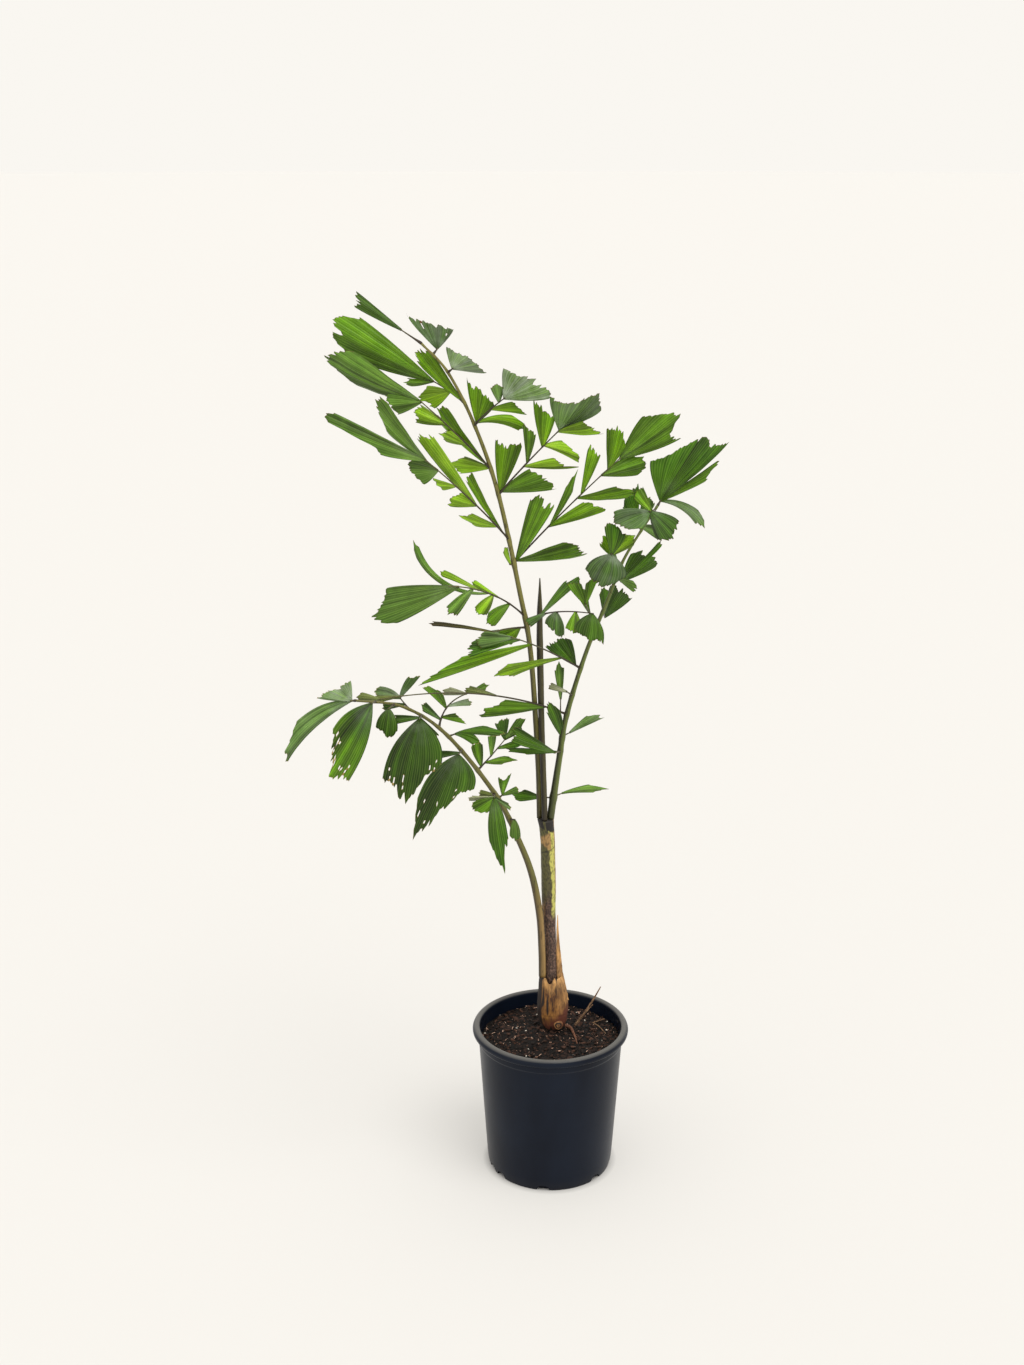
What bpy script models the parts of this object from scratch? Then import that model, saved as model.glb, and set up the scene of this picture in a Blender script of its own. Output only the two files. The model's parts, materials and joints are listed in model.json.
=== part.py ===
"""A young fishtail palm in a round nursery pot.

A short swollen stem stands on the potting bark and forks into two tall leaf stalks and an unopened
spear; a third stalk leaves it low down and leans out to the left. Every stalk carries side ribs, and
every rib carries wedge-shaped leaflets with ragged ends. The origin is at the middle of the pot's
underside, +Z is up and -Y is the front.
"""

import math
from typing import NamedTuple

import bmesh
import bpy
from mathutils import Vector
from mathutils.bvhtree import BVHTree

MM = 0.001
GAP = 0.0003

# Pot, metres
POT_HEIGHT = 0.249
POT_FOOT_RADIUS = 0.100
POT_WALL_RADIUS = 0.1168
POT_RIM_RADIUS = 0.127
POT_MOUTH_RADIUS = 0.1145
POT_WALL = 0.0024
RIM_DROP = 0.0125
STEP_HEIGHT = 0.222
STEP_DEPTH = 0.0012
FLOOR_HEIGHT = 0.0115
FLOOR_THICKNESS = 0.0030
PAD_RADIUS = 0.034
FLARE_OUT = 0.0022
FLARE_HEIGHT = 0.006
POT_SIDES = 48
NOTCH_WIDTH = 0.021
NOTCH_HEIGHT = 0.0095
NOTCH_INWARDS = 0.009
NOTCH_OUTWARDS = 0.012
NOTCH_ANGLES = (-69, -53, -7, 47, 76, 122, 171, 225)

# Potting bark, metres
SOIL_AT_WALL = 0.2225
SOIL_AT_STEM = 0.2320
SOIL_FOOT = 0.030
SOIL_SLOPE = 0.080
SOIL_BUMP = 0.0009
SOIL_RINGS = 7
SOIL_SIDES = 32

# Stem: height, middle to the side, radius, in mm; its middle lies a little behind the pot's
STEM_BACK = 20
STEM_RINGS = (
    (232.4, 5, 17), (245, 4.5, 23), (262, 4, 26), (280, 4, 25.5), (300, 3, 23), (320, 1.5, 20.5),
    (327, 1, 19), (329, 0.5, 10.6), (374, -0.5, 9.6), (410, -1.5, 9.6), (442, -3.5, 10.9),
    (482, -3.8, 11.6), (560, -5.8, 11.5), (585, -7.6, 11.8), (599, -9.5, 13.2),
)
STEM_SIDES = 18
KNOB_SIDES = 10
KNOB = ((12.5, 4, 249), (12.5, -2, 249), (12.5, -5.5, 248))
KNOB_RADII = (5.5, 5.5, 3)

# Dry sheath strip: share of its height, left and right edge, in mm
FLAP_FOOT = 330.4
FLAP_TOP = 433
FLAP_EDGES = ((0, 11.6, 20.5), (0.25, 10.8, 18.4), (0.55, 9.9, 14.6), (0.85, 9.8, 12.6), (1, 10.4, 11.8))

# What lies on the potting bark, in mm: the last number of a point is its height over what it lies on
ROOT_LINE = ((31, 12, 2), (35, 6, 0.7), (38, -6, 0.3), (41, -18, 0.2), (43, -30, 0.2))
ROOT_RADII = (2.6, 2.4, 1.8, 1.2, 0.8)
STICK_FOOT = (41, 22, 1.3)
STICK_TIP = (83, 33, 298)
STICK_SAG = 4
STICK_RADII = (2.2, 2, 1.7, 1.3, 0.9)
PRONG_END = (70, 24, 272)
PRONG_RADII = (1.5, 1.3, 0.8)
TWIG_LINE = ((71, 40, 0.3), (82, 47, 2), (91, 50, 5))
TWIG_FORK = ((72, 40, 0.3), (82, 24, 1.5), (91, 8, 1))
TWIG_RADII = (1, 0.9, 0.8)
LITTER_LIFT = 0.5

# Blades
BASE_HALF_WIDTH = 1.5
FLARE = 1.4
BULGE = 0.04
TILT = 16
SWAY = 7
FOLD = 9
LEAST_THICKNESS = 1.2
THICKNESS_SHARE = 0.0105
NARROW = 29
BLADE_ROWS = 3
SLIM = 16
SLIM_ROWS = 2
RIB_RADIUS = 1.6
RIB_TIP_RADIUS = 1.0
RIB_SIDES = 5
RIB_STEPS = 4
ROOT_SINK = 0.8
STALK_STEPS = 16
STALK_SIDES = 8
CLEARANCE = 0.8

# Colours
BLACK_PLASTIC = (0.014, 0.018, 0.028)
DARK_BARK = (0.020, 0.010, 0.007)
BROWN_HUSK = (0.20, 0.115, 0.05)
DRY_TAN = (0.42, 0.25, 0.10)
DEAD_WOOD = (0.16, 0.08, 0.045)
STALK_GREEN = (0.075, 0.085, 0.03)
LEAF_GREENS = {"tall": (0.19, 0.27, 0.03), "right": (0.045, 0.085, 0.03), "low": (0.06, 0.12, 0.03)}


class Stalk(NamedTuple):
    """A leaf stalk: the points it bends through and its radii spread evenly over its length, in mm."""

    knots: tuple
    radii: tuple


class Leaflet(NamedTuple):
    """A wedge-shaped blade, in mm and degrees; left and right are as seen from its foot, facing its end."""

    at: float
    heading: float
    length: float
    width: float
    reach: tuple
    lean: float = 0
    curl: float = 0
    fold: float = FOLD
    flare: float = FLARE


class Pinna(NamedTuple):
    """A side rib with its leaflets: its stalk, its share of it, its run and bow in mm, and its front."""

    name: str
    stalk: str
    at: float
    run: tuple
    bow: tuple
    face: tuple
    leaflets: tuple


STALKS = {
    "tall": Stalk(
        ((-19, 25, 599.8), (-22, 22, 698), (-34, 12, 875), (-51, 0, 976), (-83, -22, 1131),
         (-117, -42, 1236), (-154, -60, 1314), (-190, -80, 1357)),
        (4.4, 4.2, 3.7, 3.0, 1.5)),
    "right": Stalk(
        ((-2, 22, 600.4), (11, 20, 699), (22, 22, 771), (51, 27, 871), (84, 33, 955), (109, 38, 1020),
         (158, 47, 1099)),
        (6.2, 4.5, 3.4, 2.6, 1.5)),
    "low": Stalk(
        ((-13.5, 10, 329), (-14.5, 9, 377), (-18.5, 7, 440), (-31, 2, 511), (-53, -6, 576), (-89, -22, 658),
         (-162, -47, 764), (-226, -66, 815), (-295, -90, 833)),
        (5.8, 5.6, 4.0, 2.8, 1.5)),
    "spear": Stalk(
        ((-11, 14, 599.7), (-14, 14, 690), (-18, 15, 800), (-20, 17, 900), (-20.5, 18, 993)),
        (4.4, 4.5, 4.6, 4.7, 4.8, 5.0, 5.0, 4.2, 0.8)),
}

WHOLE = (0.95, 1, 0.95)
POINTED_RIGHT = (0.55, 0.85, 1)
BROAD = 2.6

PINNAE = (
    Pinna("tall_right_low", "tall", 0.534, (161, 61, 148), (-3, 9, -1), (0.25, -1, -0.25), (
        Leaflet(0.02, 68, 109, 37, (1, 1, 0.95, 1, 1)),
        Leaflet(0.36, 70, 103, 15, (0.65, 1, 0.7)),
        Leaflet(0.65, 76, 83, 21, (1, 0.95, 0.85)),
        Leaflet(0.89, 82, 75, 41, (1, 1, 1, 0.9, 0.6)),
        Leaflet(1, 36, 123, 63, (0.55, 0.75, 0.95, 0.7, 0.75)),
        Leaflet(0.02, 11, 118, 39, (0.65, 0.8, 0.85, 0.95, 1)),
        Leaflet(0.34, 21, 105, 27, (0.65, 0.75, 0.8, 0.9, 0.95)),
        Leaflet(0.61, 7, 92, 28, (0.7, 0.85, 0.95, 1, 0.85)),
        Leaflet(0.83, 13, 76, 33, (0.6, 0.95, 1, 0.95, 0.8)),
    )),
    Pinna("tall_right_mid", "tall", 0.673, (100, -28, 111), (-2, -3, 1), (0.1, -1, -0.3), (
        Leaflet(0.03, 82, 81, 40, (1, 0.95, 0.95, 1, 1)),
        Leaflet(0.44, 89, 75, 21, (1, 0.8, 0.65)),
        Leaflet(0.66, 89, 68, 34, (1, 0.95, 0.9, 0.8, 0.7)),
        Leaflet(0.89, 61, 82, 88, (0.6, 0.55, 0.75, 0.95, 0.7)),
        Leaflet(0.04, 15, 87, 41, (0.6, 0.75, 0.85, 0.95, 1)),
        Leaflet(0.39, 7, 83, 25, (0.55, 0.7, 1)),
        Leaflet(0.68, 350, 70, 23, (0.4, 0.8, 1), 0, -20),
        Leaflet(0.87, 9, 70, 31, (0.55, 0.65, 0.8, 0.9, 1)),
    )),
    Pinna("tall_right_high", "tall", 0.814, (44, -58, 48), (-3, -3, 0), (0.3, -1, -0.2), (
        Leaflet(0.10, 83, 65, 45, (1, 0.85, 0.75, 0.65, 0.5)),
        Leaflet(0.85, 102, 34, 21, (1, 0.9, 0.6)),
        Leaflet(0.11, 14, 84, 18, (0.7, 1, 0.9), 0, -50),
        Leaflet(0.60, 8, 63, 23, (0.5, 0.7, 1), 0, -20),
        Leaflet(1, 26, 68, 72, (0.35, 0.55, 0.85, 0.95, 1), -5),
    )),
    Pinna("tall_fan_side", "tall", 0.925, (8, -10, 7), (0, 0, 0), (0.5, -1, 0.6), (
        Leaflet(1, 31, 43, 69, (0.8, 0.7, 0.85, 0.95, 1)),
    )),
    Pinna("tall_fan_top", "tall", 0.969, (7, 11, 8), (0, 0, 0), (0.5, -1, 0.6), (
        Leaflet(1, 96, 62, 60, (1, 0.8, 0.65, 0.5, 0.4), 14),
    )),
    Pinna("tall_tip", "tall", 1, (-29, -5, 20), (0, 0, 0), (0, -1, 0.3), (
        Leaflet(1, 146, 92, 20, (0.9, 1, 0.97), fold=26),
    )),
    Pinna("tall_left_high", "tall", 0.860, (-47, 20, 29), (1, 0, 1), (-0.3, -1, -0.2), (
        Leaflet(0.05, 132, 98, 34, (0.9, 1, 1, 0.95, 0.9)),
        Leaflet(0.47, 196, 54, 34, (0.55, 0.8, 1, 0.6)),
        Leaflet(0.96, 187, 52, 14, (0.8, 1, 0.85)),
        Leaflet(1, 151, 172, 58, (0.7, 0.95, 0.97, 0.95, 0.8)),
    )),
    Pinna("tall_left_mid", "tall", 0.724, (-98, -70, 110), (2, -1, 1), (-0.3, -1, -0.25), (
        Leaflet(0.07, 123, 118, 32, (0.85, 0.95, 1, 1, 0.95), 14),
        Leaflet(0.02, 174, 62, 26, (0.8, 1, 0.7)),
        Leaflet(0.36, 163, 50, 26, (0.75, 1, 0.65)),
        Leaflet(0.66, 157, 53, 27, (0.8, 1, 0.9)),
        Leaflet(1, 155, 162, 57, (0.65, 0.9, 0.95, 0.85, 0.7)),
        Leaflet(1, 184, 58, 31, (0.65, 0.8, 0.9, 1, 0.95)),
    )),
    Pinna("tall_left_low", "tall", 0.582, (-117, -129, 144), (5, -5, 1), (-0.2, -1, -0.3), (
        Leaflet(0.10, 118, 108, 17, (0.9, 1, 0.95)),
        Leaflet(0.45, 121, 142, 21, (0.9, 1, 0.9), flare=2),
        Leaflet(0.17, 168, 64, 24, (0.6, 1, 0.65)),
        Leaflet(0.44, 159, 41, 25, (1, 1, 0.75)),
        Leaflet(0.68, 183, 37, 23, (0.7, 0.85, 1)),
        Leaflet(0.87, 178, 43, 41, (0.5, 0.75, 0.95, 1, 0.8)),
        Leaflet(1, 130, 115, 37, (0.55, 0.75, 0.9, 0.97, 0.9)),
        Leaflet(1, 157, 151, 31, (0.4, 0.5, 0.95, 1, 0.95)),
    )),
    Pinna("tall_foot_small", "tall", 0.531, (-7, -7, 2), (0, 0, 0), (-0.3, -1, 0.1), (
        Leaflet(1, 118, 28, 11, WHOLE),
    )),
    Pinna("tall_low_left", "tall", 0.423, (-112, -95, 72), (6, 1, 11), (-0.2, -1, 0.5), (
        Leaflet(0.54, 188, 150, 11, (0.9, 1, 0.9), 0, -80),
        Leaflet(0.66, 158, 64, 11, WHOLE),
        Leaflet(0.42, 152, 49, 10, WHOLE),
        Leaflet(0.73, 232, 53, 23, (0.95, 1, 0.9), flare=2),
        Leaflet(0.48, 234, 41, 21, (0.8, 1, 0.8), flare=2),
        Leaflet(0.25, 227, 50, 25, (0.9, 1, 0.75), flare=2),
        Leaflet(0.89, 198, 148, 54, (0.75, 1, 0.85, 0.75, 0.7)),
    )),
    Pinna("tall_low_dry", "tall", 0.400, (-53, -51, 7), (0, 0, 2), (-0.2, -1, 0.5), (
        Leaflet(0.2, 212, 39, 31, (0.7, 0.95, 1)),
        Leaflet(1, 176, 98, 8, WHOLE),
        Leaflet(0.8, 214, 44, 21, (0.75, 1, 0.6)),
    )),
    Pinna("tall_low_right", "tall", 0.415, (99, -86, 34), (-6, -1, 8), (0.2, -1, 0.5), (
        Leaflet(0.28, 42, 88, 18, (0.9, 1, 0.95)),
        Leaflet(0.35, 206, 36, 15, WHOLE),
        Leaflet(0.52, 262, 43, 34, (0.9, 1, 0.9, 0.65, 0.5), flare=BROAD),
        Leaflet(0.78, 256, 38, 25, (0.75, 1, 0.8)),
        Leaflet(1, 260, 47, 52, (1, 0.85, 0.9, 0.8, 0.65), flare=BROAD),
    )),
    Pinna("right_low_left", "right", 0.330, (-286, -82, 51), (8, -9, 24), (0, -1, 0.4), (
        Leaflet(0.13, 181, 105, 28, (1, 0.9, 0.65)),
        Leaflet(0.41, 168, 52, 12, WHOLE),
        Leaflet(0.90, 186, 44, 11, WHOLE),
        Leaflet(1, 176, 40, 16, (0.7, 1, 0.8)),
    )),
    Pinna("right_left_mid", "right", 0.475, (-107, -125, 86), (-3, 5, 4), (0, -1, 0.5), (
        Leaflet(0.07, 126, 56, 39, (1, 0.95, 0.95, 0.85, 0.65)),
        Leaflet(0.26, 196, 112, 23, (0.75, 1, 0.75), flare=0.8),
        Leaflet(0.69, 196, 176, 24, (1, 0.85, 0.6)),
        Leaflet(0.87, 192, 88, 26, (1, 0.95, 0.75)),
        Leaflet(1, 183, 57, 25, (0.95, 1, 0.8)),
    )),
    Pinna("right_small_grey", "right", 0.390, (-10, -33, 17), (0, 0, 0), (0, -1, 0.5), (
        Leaflet(0.9, 158, 31, 11, WHOLE),
    )),
    Pinna("right_spike", "right", 0.255, (-3, -11, 70), (-1, 1, 0), (0.3, -1, 0), (
        Leaflet(1, 91, 61, 15, (0.85, 1, 0.85)),
        Leaflet(0.05, 112, 68, 22, (0.85, 1, 0.75), flare=2),
    )),
    Pinna("right_low_back", "right", 0.262, (13, 29, -4), (0, 0, 0), (0, -1, 0.3), (
        Leaflet(1, 31, 66, 17, (0.6, 0.9, 1)),
    )),
    Pinna("right_low_leaf", "right", 0.215, (-9, -46, 14), (0, 0, 0), (0, -1, 0.4), (
        Leaflet(1, 155, 90, 26, (0.8, 1, 0.85)),
        Leaflet(0.5, 180, 84, 12, (0.6, 0.9, 1)),
    )),
    Pinna("right_foot_left", "right", 0.066, (-20, 30, -11), (0, 0, 0), (0, -1, 0.6), (
        Leaflet(1, 172, 48, 20, (0.8, 1, 0.6)),
    )),
    Pinna("right_foot_right", "right", 0.070, (15, 30, -6), (0, 0, 0), (0, -1, 0.6), (
        Leaflet(1, 12, 80, 15, (0.7, 1, 0.7), 0, -14),
    )),
    Pinna("right_tip", "right", 1, (5, 3, 8), (0, 0, 0), (0, -1, 0.2), (
        Leaflet(1, 59, 130, 86, (0.35, 0.55, 0.9, 0.9, 1), 11),
        Leaflet(1, 31, 107, 17, (1, 0.97, 0.75)),
        Leaflet(1, 357, 87, 18, (0.75, 1, 0.85), 0, -62),
    )),
    Pinna("right_front_high", "right", 0.985, (-16, -106, 20), (0, 0, 0), (0, -1, 0.4), (
        Leaflet(1, 312, 54, 46, (0.8, 0.95, 1, 0.95, 0.8), flare=1.8),
        Leaflet(1, 206, 58, 44, (0.6, 0.8, 0.9, 1, 0.9), flare=1.8),
        Leaflet(0.66, 124, 44, 22, (0.7, 1, 0.9)),
        Leaflet(0.4, 215, 46, 22, (0.8, 1, 0.7)),
    )),
    Pinna("right_back_high", "right", 0.914, (-1, 87, -3), (0, 0, 0), (0.3, -1, 0.2), (
        Leaflet(1, 100, 55, 33, (0.5, 0.8, 0.85, 0.95, 1)),
        Leaflet(0.6, 66, 46, 25, (0.8, 1, 0.85)),
        Leaflet(0.5, 335, 44, 20, (0.7, 1, 0.8)),
    )),
    Pinna("right_front_mid", "right", 0.796, (-20, -107, 45), (0, 0, 0), (0, -1, 0.3), (
        Leaflet(1, 247, 54, 62, (0.5, 0.85, 1, 0.85, 0.7), flare=BROAD),
        Leaflet(1, 84, 47, 33, (0.9, 1, 0.95, 0.8, 0.65)),
        Leaflet(0.91, 41, 48, 22, (0.8, 1, 0.75)),
        Leaflet(0.85, 120, 36, 18, (0.8, 1, 0.8)),
        Leaflet(0.45, 228, 46, 20, (0.75, 1, 0.8)),
        Leaflet(0.4, 125, 42, 18, WHOLE),
    )),
    Pinna("right_back_mid", "right", 0.766, (12, 84, -31), (0, 0, 0), (0.3, -1, 0.2), (
        Leaflet(1, 37, 72, 42, (0.65, 1, 0.97, 0.95, 0.9)),
        Leaflet(0.9, 40, 92, 10, WHOLE),
        Leaflet(0.55, 330, 42, 17, (0.7, 1, 0.8)),
    )),
    Pinna("right_back_low", "right", 0.656, (7, 79, -32), (0, 0, 0), (0.3, -1, 0.2), (
        Leaflet(1, 50, 58, 40, (0.85, 0.95, 1, 0.97, 0.9)),
        Leaflet(0.6, 92, 46, 20, (0.85, 1, 0.8)),
    )),
    Pinna("right_front_low", "right", 0.607, (-21, -75, 56), (0, 0, 0), (0, -1, 0.2), (
        Leaflet(1, 118, 40, 20, (1, 0.95, 0.85)),
        Leaflet(1, 77, 50, 17, (0.7, 0.9, 1)),
        Leaflet(0.6, 110, 42, 16, WHOLE),
        Leaflet(0.35, 205, 40, 16, (0.75, 1, 0.8)),
    )),
    Pinna("low_tip", "low", 1, (-8, -2, 0), (0, 0, 0), (-0.3, -1, 0.7), (
        Leaflet(1, 203, 143, 28, (1, 0.9, 0.62), 0, 40, 22, flare=BROAD),
        Leaflet(1, 158, 46, 50, (1, 0.95, 0.75, 0.6, 0.45)),
    )),
    Pinna("low_top_back", "low", 0.866, (-16, 34, 8), (0, 0, 0), (-0.2, -1, 0.5), (
        Leaflet(1, 62, 46, 17, (0.75, 0.9, 1), flare=2),
        Leaflet(0.9, 160, 44, 19, (0.9, 1, 0.8), 0, 25, flare=BROAD),
        Leaflet(0.4, 186, 40, 13, WHOLE),
    )),
    Pinna("low_hang_end", "low", 0.952, (-3, -31, 8), (0, 0, 0), (-0.3, -1, 0.2), (
        Leaflet(1, 243, 131, 60, (0.9, 1, 0.97, 0.75, 0.5), 11, flare=BROAD),
    )),
    Pinna("low_hang_small", "low", 0.905, (-7, -25, 1), (0, 0, 0), (-0.1, -1, 0.2), (
        Leaflet(1, 262, 50, 33, (0.75, 1, 0.75, 0.6), flare=BROAD),
    )),
    Pinna("low_hang_broad", "low", 0.830, (-1, -43, 9), (0, 0, 0), (-0.1, -1, 0.2), (
        Leaflet(1, 261, 140, 84, (0.45, 0.65, 1, 0.8, 0.7), flare=BROAD),
        Leaflet(0.57, 186, 46, 14, WHOLE),
        Leaflet(0.74, 309, 43, 12, WHOLE),
    )),
    Pinna("low_hang_mid", "low", 0.691, (-3, -46, 10), (0, 0, 0), (0, -1, 0.3), (
        Leaflet(1, 249, 148, 78, (0.28, 0.4, 0.75, 1, 0.55), flare=BROAD),
        Leaflet(0.58, 185, 36, 12, WHOLE),
    )),
    Pinna("low_hang_near", "low", 0.544, (0, -35, 6), (0, 0, 0), (0, -1, 0.3), (
        Leaflet(1, 214, 41, 27, (0.6, 0.8, 0.95, 1, 0.85), flare=2),
        Leaflet(1, 278, 116, 31, (0.55, 0.75, 1, 0.9, 0.6), flare=BROAD),
        Leaflet(0.9, 182, 43, 9, WHOLE),
        Leaflet(0.8, 329, 35, 9, WHOLE),
    )),
    Pinna("low_back_left", "low", 0.775, (49, 77, 32), (-10, 2, 8), (0, -1, 0.9), (
        Leaflet(0.15, 137, 45, 14, WHOLE),
        Leaflet(0.40, 130, 53, 21, (1, 0.9, 0.5)),
        Leaflet(0.45, 14, 42, 15, WHOLE),
        Leaflet(0.2, 351, 43, 15, (0.6, 0.8, 1)),
        Leaflet(0.9, 168, 44, 14, (0.8, 1, 0.7)),
        Leaflet(1, 20, 34, 12, (0.8, 1, 0.7)),
    )),
    Pinna("low_back_long", "low", 0.742, (12, 17, -1), (0, 0, 0), (0, -1, 0.9), (
        Leaflet(1, 8, 87, 20, (0.5, 1, 0.7), 0, -17),
        Leaflet(0.8, 350, 52, 15, (0.6, 1, 0.8), 0, -35),
    )),
    Pinna("low_back_mid", "low", 0.622, (43, 65, 29), (-2, 4, -5), (0, -1, 0.9), (
        Leaflet(0.15, 100, 52, 19, (0.8, 1, 0.7), flare=2),
        Leaflet(0.52, 88, 34, 14, WHOLE),
        Leaflet(0.29, 7, 57, 16, (0.6, 1, 0.5)),
        Leaflet(0.74, 11, 56, 12, (0.6, 1, 0.6)),
        Leaflet(1, 97, 40, 24, (0.9, 1, 0.95)),
        Leaflet(1, 45, 50, 20, (0.75, 1, 0.7)),
    )),
    Pinna("low_back_near", "low", 0.526, (8, 14, 2), (0, 0, 0), (0, -1, 0.6), (
        Leaflet(1, 83, 38, 20, (0.85, 0.65, 1)),
        Leaflet(0.8, 18, 28, 11, WHOLE),
        Leaflet(0.45, 168, 36, 11, WHOLE),
    )),
    Pinna("low_foot_small", "low", 0.46, (9, -12, 4), (0, 0, 0), (0, -1, 0.3), (
        Leaflet(1, 272, 38, 18, (0.8, 1, 0.7), flare=BROAD),
    )),
)

MIDRIB_SIDE = {"tall": -1, "right": 1, "low": 1}


# Small mathematics

def lerp(start, end, share):
    return start + (end - start) * share


def in_metres(values):
    """Lengths or points in millimetres, turned to metres."""
    if isinstance(values[0], tuple):
        return [Vector(value) * MM for value in values]
    return [value * MM for value in values]


def spread(values, share):
    """Reads evenly spaced values at a share of their whole length."""
    place = min(max(share, 0), 1) * (len(values) - 1)
    low = min(int(place), len(values) - 2)
    return lerp(values[low], values[low + 1], place - low)


def bend(a, b, c, d, t):
    """A smooth curve from b to c that looks towards a and d."""
    square = (2 * a - 5 * b + 4 * c - d) * t ** 2
    cube = (3 * b - a - 3 * c + d) * t ** 3
    return 0.5 * (2 * b + (c - a) * t + square + cube)


class Path:
    """A smooth line through points, cut into equal straight pieces and read by share of its length."""

    def __init__(self, knots, steps=8):
        points = [Vector(k) * MM for k in knots]
        ends = [2 * points[0] - points[1]] + points + [2 * points[-1] - points[-2]]
        fine = [points[0]]
        for i in range(len(points) - 1):
            for s in range(1, steps + 1):
                fine.append(bend(*ends[i:i + 4], s / steps))
        lengths = [0.0]
        for a, b in zip(fine, fine[1:]):
            lengths.append(lengths[-1] + (b - a).length)
        self.points = []
        low = 0
        for k in range(STALK_STEPS + 1):
            goal = lengths[-1] * k / STALK_STEPS
            while low < len(fine) - 2 and lengths[low + 1] < goal:
                low += 1
            part = (goal - lengths[low]) / (lengths[low + 1] - lengths[low])
            self.points.append(fine[low].lerp(fine[low + 1], part))

    def at(self, share):
        place = min(max(share, 0), 1) * STALK_STEPS
        low = min(int(place), STALK_STEPS - 1)
        return self.points[low].lerp(self.points[low + 1], place - low)

    def along(self, share):
        return (self.at(min(share + 0.01, 1)) - self.at(max(share - 0.01, 0))).normalized()


# Materials and bodies

def finish(name, colour, roughness):
    material = bpy.data.materials.new(name)
    material.use_nodes = True
    shader = material.node_tree.nodes["Principled BSDF"]
    shader.inputs["Base Color"].default_value = (*colour, 1)
    shader.inputs["Roughness"].default_value = roughness
    shader.inputs["Metallic"].default_value = 0
    return material


def body(name, points, faces, smooth=True):
    mesh = bpy.data.meshes.new(name)
    mesh.from_pydata([tuple(p) for p in points], [], faces)
    work = bmesh.new()
    work.from_mesh(mesh)
    bmesh.ops.recalc_face_normals(work, faces=work.faces)
    if sum(f.calc_center_median().dot(f.normal) * f.calc_area() for f in work.faces) < 0:
        bmesh.ops.reverse_faces(work, faces=work.faces)
    work.to_mesh(mesh)
    work.free()
    for polygon in mesh.polygons:
        polygon.use_smooth = smooth
    thing = bpy.data.objects.new(name, mesh)
    bpy.context.scene.collection.objects.link(thing)
    return thing


def stacked(name, rings, smooth=True):
    """A closed body through rings that have the same number of points."""
    count = len(rings[0])
    points = [p for ring in rings for p in ring]
    faces = []
    for k in range(len(rings) - 1):
        for i in range(count):
            j = (i + 1) % count
            faces.append((k * count + i, k * count + j, (k + 1) * count + j, (k + 1) * count + i))
    faces.append(tuple(range(count))[::-1])
    faces.append(tuple(range(len(points) - count, len(points))))
    return body(name, points, faces, smooth)


def tube(name, centres, radii, sides):
    """A round body along points, its ends cut square."""
    side = Vector((1, 0, 0))
    rings = []
    for k, centre in enumerate(centres):
        ahead = centres[min(k + 1, len(centres) - 1)] - centres[max(k - 1, 0)]
        ahead.normalize()
        if abs(side.dot(ahead)) > 0.95:
            side = Vector((0, 1, 0))
        side = (side - ahead * side.dot(ahead)).normalized()
        other = ahead.cross(side)
        ring = []
        for i in range(sides):
            turn = 2 * math.pi * i / sides
            ring.append(centre + (side * math.cos(turn) + other * math.sin(turn)) * radii[k])
        rings.append(ring)
    return stacked(name, rings)


def turned(name, profile, sides):
    """A body turned about +Z from a profile of (radius, height) that starts and ends on the axis."""
    points = [(0, 0, profile[0][1])]
    inner = profile[1:-1]
    for radius, height in inner:
        for i in range(sides):
            turn = 2 * math.pi * i / sides
            points.append((radius * math.cos(turn), radius * math.sin(turn), height))
    points.append((0, 0, profile[-1][1]))
    faces = []
    for i in range(sides):
        j = (i + 1) % sides
        faces.append((0, 1 + j, 1 + i))
        for k in range(len(inner) - 1):
            low = 1 + k * sides
            high = low + sides
            faces.append((low + i, low + j, high + j, high + i))
        top = 1 + (len(inner) - 1) * sides
        faces.append((top + i, top + j, len(points) - 1))
    return body(name, points, faces)


def largest_part(mesh):
    """Keeps the largest connected part of a mesh, which drops scraps and the walls of sealed hollows."""
    work = bmesh.new()
    work.from_mesh(mesh)
    left = set(work.verts)
    parts = []
    while left:
        seed = left.pop()
        part = {seed}
        edge = [seed]
        while edge:
            vert = edge.pop()
            for link in vert.link_edges:
                other = link.other_vert(vert)
                if other in left:
                    left.remove(other)
                    part.add(other)
                    edge.append(other)
        parts.append(part)
    parts.sort(key=len)
    for part in parts[:-1]:
        bmesh.ops.delete(work, geom=list(part), context="VERTS")
    work.to_mesh(mesh)
    work.free()


def combined(base, others, operation):
    """Fuses others with base, or cuts them from it, in one step, and removes them."""
    group = bpy.data.collections.new(base.name + "_group")
    bpy.context.scene.collection.children.link(group)
    for other in others:
        bpy.context.scene.collection.objects.unlink(other)
        group.objects.link(other)
    step = base.modifiers.new("join", "BOOLEAN")
    step.operand_type = "COLLECTION"
    step.collection = group
    step.operation = operation
    step.solver = "EXACT"
    bpy.context.view_layer.update()
    mesh = bpy.data.meshes.new_from_object(base.evaluated_get(bpy.context.evaluated_depsgraph_get()))
    base.modifiers.clear()
    old = base.data
    base.data = mesh
    bpy.data.meshes.remove(old)
    for other in others:
        data = other.data
        bpy.data.objects.remove(other)
        bpy.data.meshes.remove(data)
    bpy.data.collections.remove(group)
    largest_part(mesh)
    mesh.name = base.name
    return base


def dressed(thing, material):
    thing.data.materials.clear()
    thing.data.materials.append(material)
    return thing


# Pot and potting bark

def outer_radius(height):
    """The pot's outer wall: a straight taper, stepped in a little under the rim's collar."""
    taper = lerp(POT_FOOT_RADIUS + FLARE_OUT, POT_WALL_RADIUS, height / STEP_HEIGHT)
    return taper - FLARE_OUT * math.exp(-height / FLARE_HEIGHT)


def inner_radius(height):
    return outer_radius(height) - POT_WALL


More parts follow.
